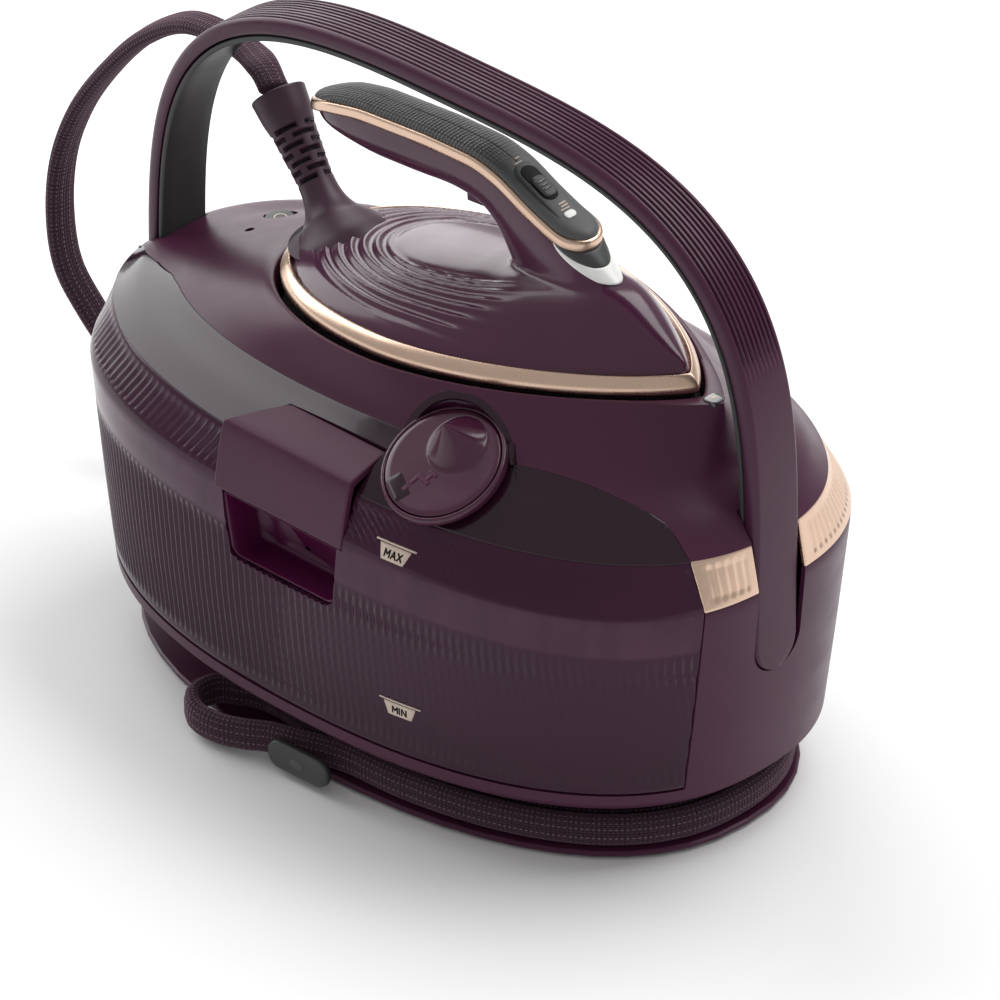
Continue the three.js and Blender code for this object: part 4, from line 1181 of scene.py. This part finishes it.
def make_grip():
    band = [(2, -2.7), (0.2, -2.5), (-0.35, -2.0), (-0.6, -0.8), (-0.55, 2.0), (-0.3, 3.1), (0.6, 3.65),
            (4, 3.8)]
    place(grip_layers("grip_gold_ring", band, 12.5, GOLD), "iron", "gold_trim", "grip_trim_ring")
    crown = [(1.6, 3.4), (1.25, 3.8), (1.2, 4.2), (1.5, 4.9), (2.3, 5.6), (3.7, 6.2), (5.6, 6.6), (7.8, 6.8),
             (10.4, 6.88), (11.8, 6.9), (12.3, 6.91)]
    place(grip_layers("grip_top", crown, 12.5, KNURL), "iron", "dark_plastic", "grip_pad")
    turn = rotation("Y", math.degrees(math.atan2(8.5, 15)))

    def on_panel(x, y, z):
        return lambda p: iron_frame((p + [x, y, z]) @ turn.T + [31, 0, 71.5])
    block("control_plate", rounded(40, 13, 6.4, 10), 2.6, 0.5, GREY, on_panel(3.0, 0, 0.9),
          "iron", "dark_plastic")
    block("slider_bed", rounded(22, 9.6, 4.6, 8), 0.5, 0.2, BLACK_AND_SLOT_SHADE, on_panel(-3, 0, 3.35),
          "iron", "dark_plastic")
    block("steam_knob", rounded(12.6, 7.6, 2.6, 6), 1.6, 0.7, GREY, on_panel(0, 0, 3.5),
          "steam_slider", "dark_plastic", "steam_slider")
    for i, offset in enumerate((-2.2, 0.0, 2.2)):
        block(f"knob_rib_{i}", rounded(0.8, 5.0, 0.35, 3), 0.4, 0.2, GLOSS_GREY, on_panel(offset, 0, 5.15),
              "steam_slider", "dark_plastic")
    marks = [(11.5, 1.4, 3.58, 0.9, 4.6), (13.2, 1.4, 3.58, 0.9, 4.6), (14.9, 0.4, 3.58, 0.8, 5.8),
             (-17.5, 0, 2.4, 0.8, 5.0), (-20.0, 1.5, 2.4, 0.8, 3.0)]
    for i, (x, y, z, w, h) in enumerate(marks):
        block(f"panel_mark_{i}", rounded(w, h, 0.35, 3), 0.14, 0.06, BEIGE, on_panel(x, y, z),
              "iron", "white_plastic")
    block("panel_lamp", rounded(4.0, 6.6, 1.9, 6), 0.9, 0.3, WHITE, on_panel(18.6, 0, 3.5),
          "iron", "white_plastic", "panel_light")
    crescent("front_collar_band", GREY, 2.2, 8.8, 0.35, "front_collar", "dark_plastic")
    crescent("front_lamp_band", WHITE, 8.8, 15.4, 0.45, "lamp_crescent", "white_plastic")


def crescent(name, material, top, bottom, proud, node, slot_name):
    """A band round the front of the pillar that narrows to both sides."""
    a = np.radians(np.linspace(-100, 100, 61))
    fall = np.clip(np.cos(a * 0.9), 0, 1) ** 0.7
    rows = []
    for f, out in [(0.0, -1.2), (0.0, proud - 0.25), (0.12, proud), (0.5, proud + 0.15), (0.88, proud),
                   (1.0, proud - 0.25), (1.0, -1.2)]:
        d = (top + (bottom - top) * f) * (0.12 + 0.88 * fall)
        x = 51.5 + (10.9 + out + d * 0.72 + 0.022 * d * d) * np.cos(a)
        y = (12.55 + out * 0.8 + d * 0.03) * np.sin(a)
        z = ring_height(np.minimum(x - d * 0.72, 62.0)) - 0.1 - d * 0.98
        rows.append(np.column_stack([x, y, z]))
    obj = surface(name, iron_frame(np.stack(rows, axis=1)), [material])
    place(obj, "iron", slot_name, node)


def make_boot():
    keys = [(31, -17), (27, -7.5), (21.5, -0.4), (17.6, 4.0), (14.0, 7.6), (11.2, 12.5), (9.6, 18), (9.0, 24),
            (9.3, 32), (10.2, 42), (11.0, 52), (11.7, 55.5), (12.6, 60), (13.6, 70), (13.7, 71.4), (13.2, 72),
            (9.6, 72.0), (8.8, 71), (8.6, 66)]
    profile = spline(keys, 230)
    around = 144
    a = np.linspace(0, TAU, around, endpoint=False)
    verts, dark = [], []
    for r, z in profile:
        row = (z - 24.5) / 4.35
        k = math.floor(row)
        band = 0 <= k < 7 and z < 70 and r > 8.8
        inside = max(0.0, 1 - abs((row - k) - 0.5) / 0.27) if band else 0.0
        phase = (a / TAU * 4 + (k % 2) * 0.5) % 1.0
        slot_ = np.clip((0.385 - np.abs(phase - 0.5)) / 0.03, 0, 1) * min(1.0, inside * 2.5)
        radius = r - 2.3 * slot_
        verts.append(np.column_stack([radius * np.cos(a), radius * np.sin(a), np.full(around, z)]))
        # painted shade: faces deep in a slot are marked for the black material, standing in for the shade
        # inside the opening
        dark.append(slot_ > 0.6)
    p = np.stack(verts, axis=1)
    turn = rotation("Z", -15) @ rotation("Y", -43)
    q = p @ turn.T + [-108, 0, 6.8]
    q[..., 2] = np.maximum(q[..., 2], 7.2)
    faces = grid_faces(around, len(profile), True)
    obj = mesh("hose_boot_sleeve", iron_frame(q).reshape(-1, 3), faces, [BOOT, BLACK_AND_SLOT_SHADE])
    slot_shade_flags = np.stack(dark, axis=1).reshape(-1)
    for face in obj.data.polygons:
        if slot_shade_flags[list(face.vertices)].mean() > 0.7:
            face.material_index = 1
    fix_normals(obj)
    place(crisp(obj, 50), "iron", "aubergine_plastic", "hose_boot")


# ---------------------------------------------------------------- floor and light
def make_stage():
    far = 9000
    floor = mesh("floor", [(-far, -far, 0), (far, -far, 0), (far, far, 0), (-far, far, 0)], [(0, 1, 2, 3)])
    n = Nodes("floor_white")
    n.set(Base_Color=n.mix(n.noise(3), (0.90, 0.90, 0.90, 1), (0.93, 0.93, 0.93, 1)), Roughness=0.7,
          Specular_IOR_Level=0.1)
    floor.data.materials.append(n.material)
    world = bpy.data.worlds.new("studio")
    world.use_nodes = True
    world.node_tree.nodes["Background"].inputs[0].default_value = (1, 1, 1, 1)
    world.node_tree.nodes["Background"].inputs[1].default_value = WORLD_LIGHT
    bpy.context.scene.world = world
    for name, at, size, power in LIGHTS:
        data = bpy.data.lights.new(name, "AREA")
        data.shape, data.size, data.size_y, data.energy = "RECTANGLE", size[0], size[1], power
        lamp = bpy.data.objects.new(name, data)
        lamp.location = at
        lamp.rotation_euler = (Vector((0, 0, 0.15)) - Vector(at)).to_track_quat("-Z", "Y").to_euler()
        bpy.context.scene.collection.objects.link(lamp)
    bpy.context.scene.view_settings.view_transform = "Standard"


WORLD_LIGHT = 0.5
LIGHTS = [("key_left", (-3.1, 0.7, 1.9), (4.4, 3.2), 125.0), ("top", (0.6, 1.6, 3.0), (2.6, 2.2), 80.0)]

make_hose()
make_clip()
make_housing()
make_bands()
make_deck()
make_deck_trim()
make_lid()
make_inner_cover()
make_pad()
make_door()
make_tank()
make_marks()
make_handle()
make_skirt()
make_shell()
make_grip()
make_boot()
make_stage()
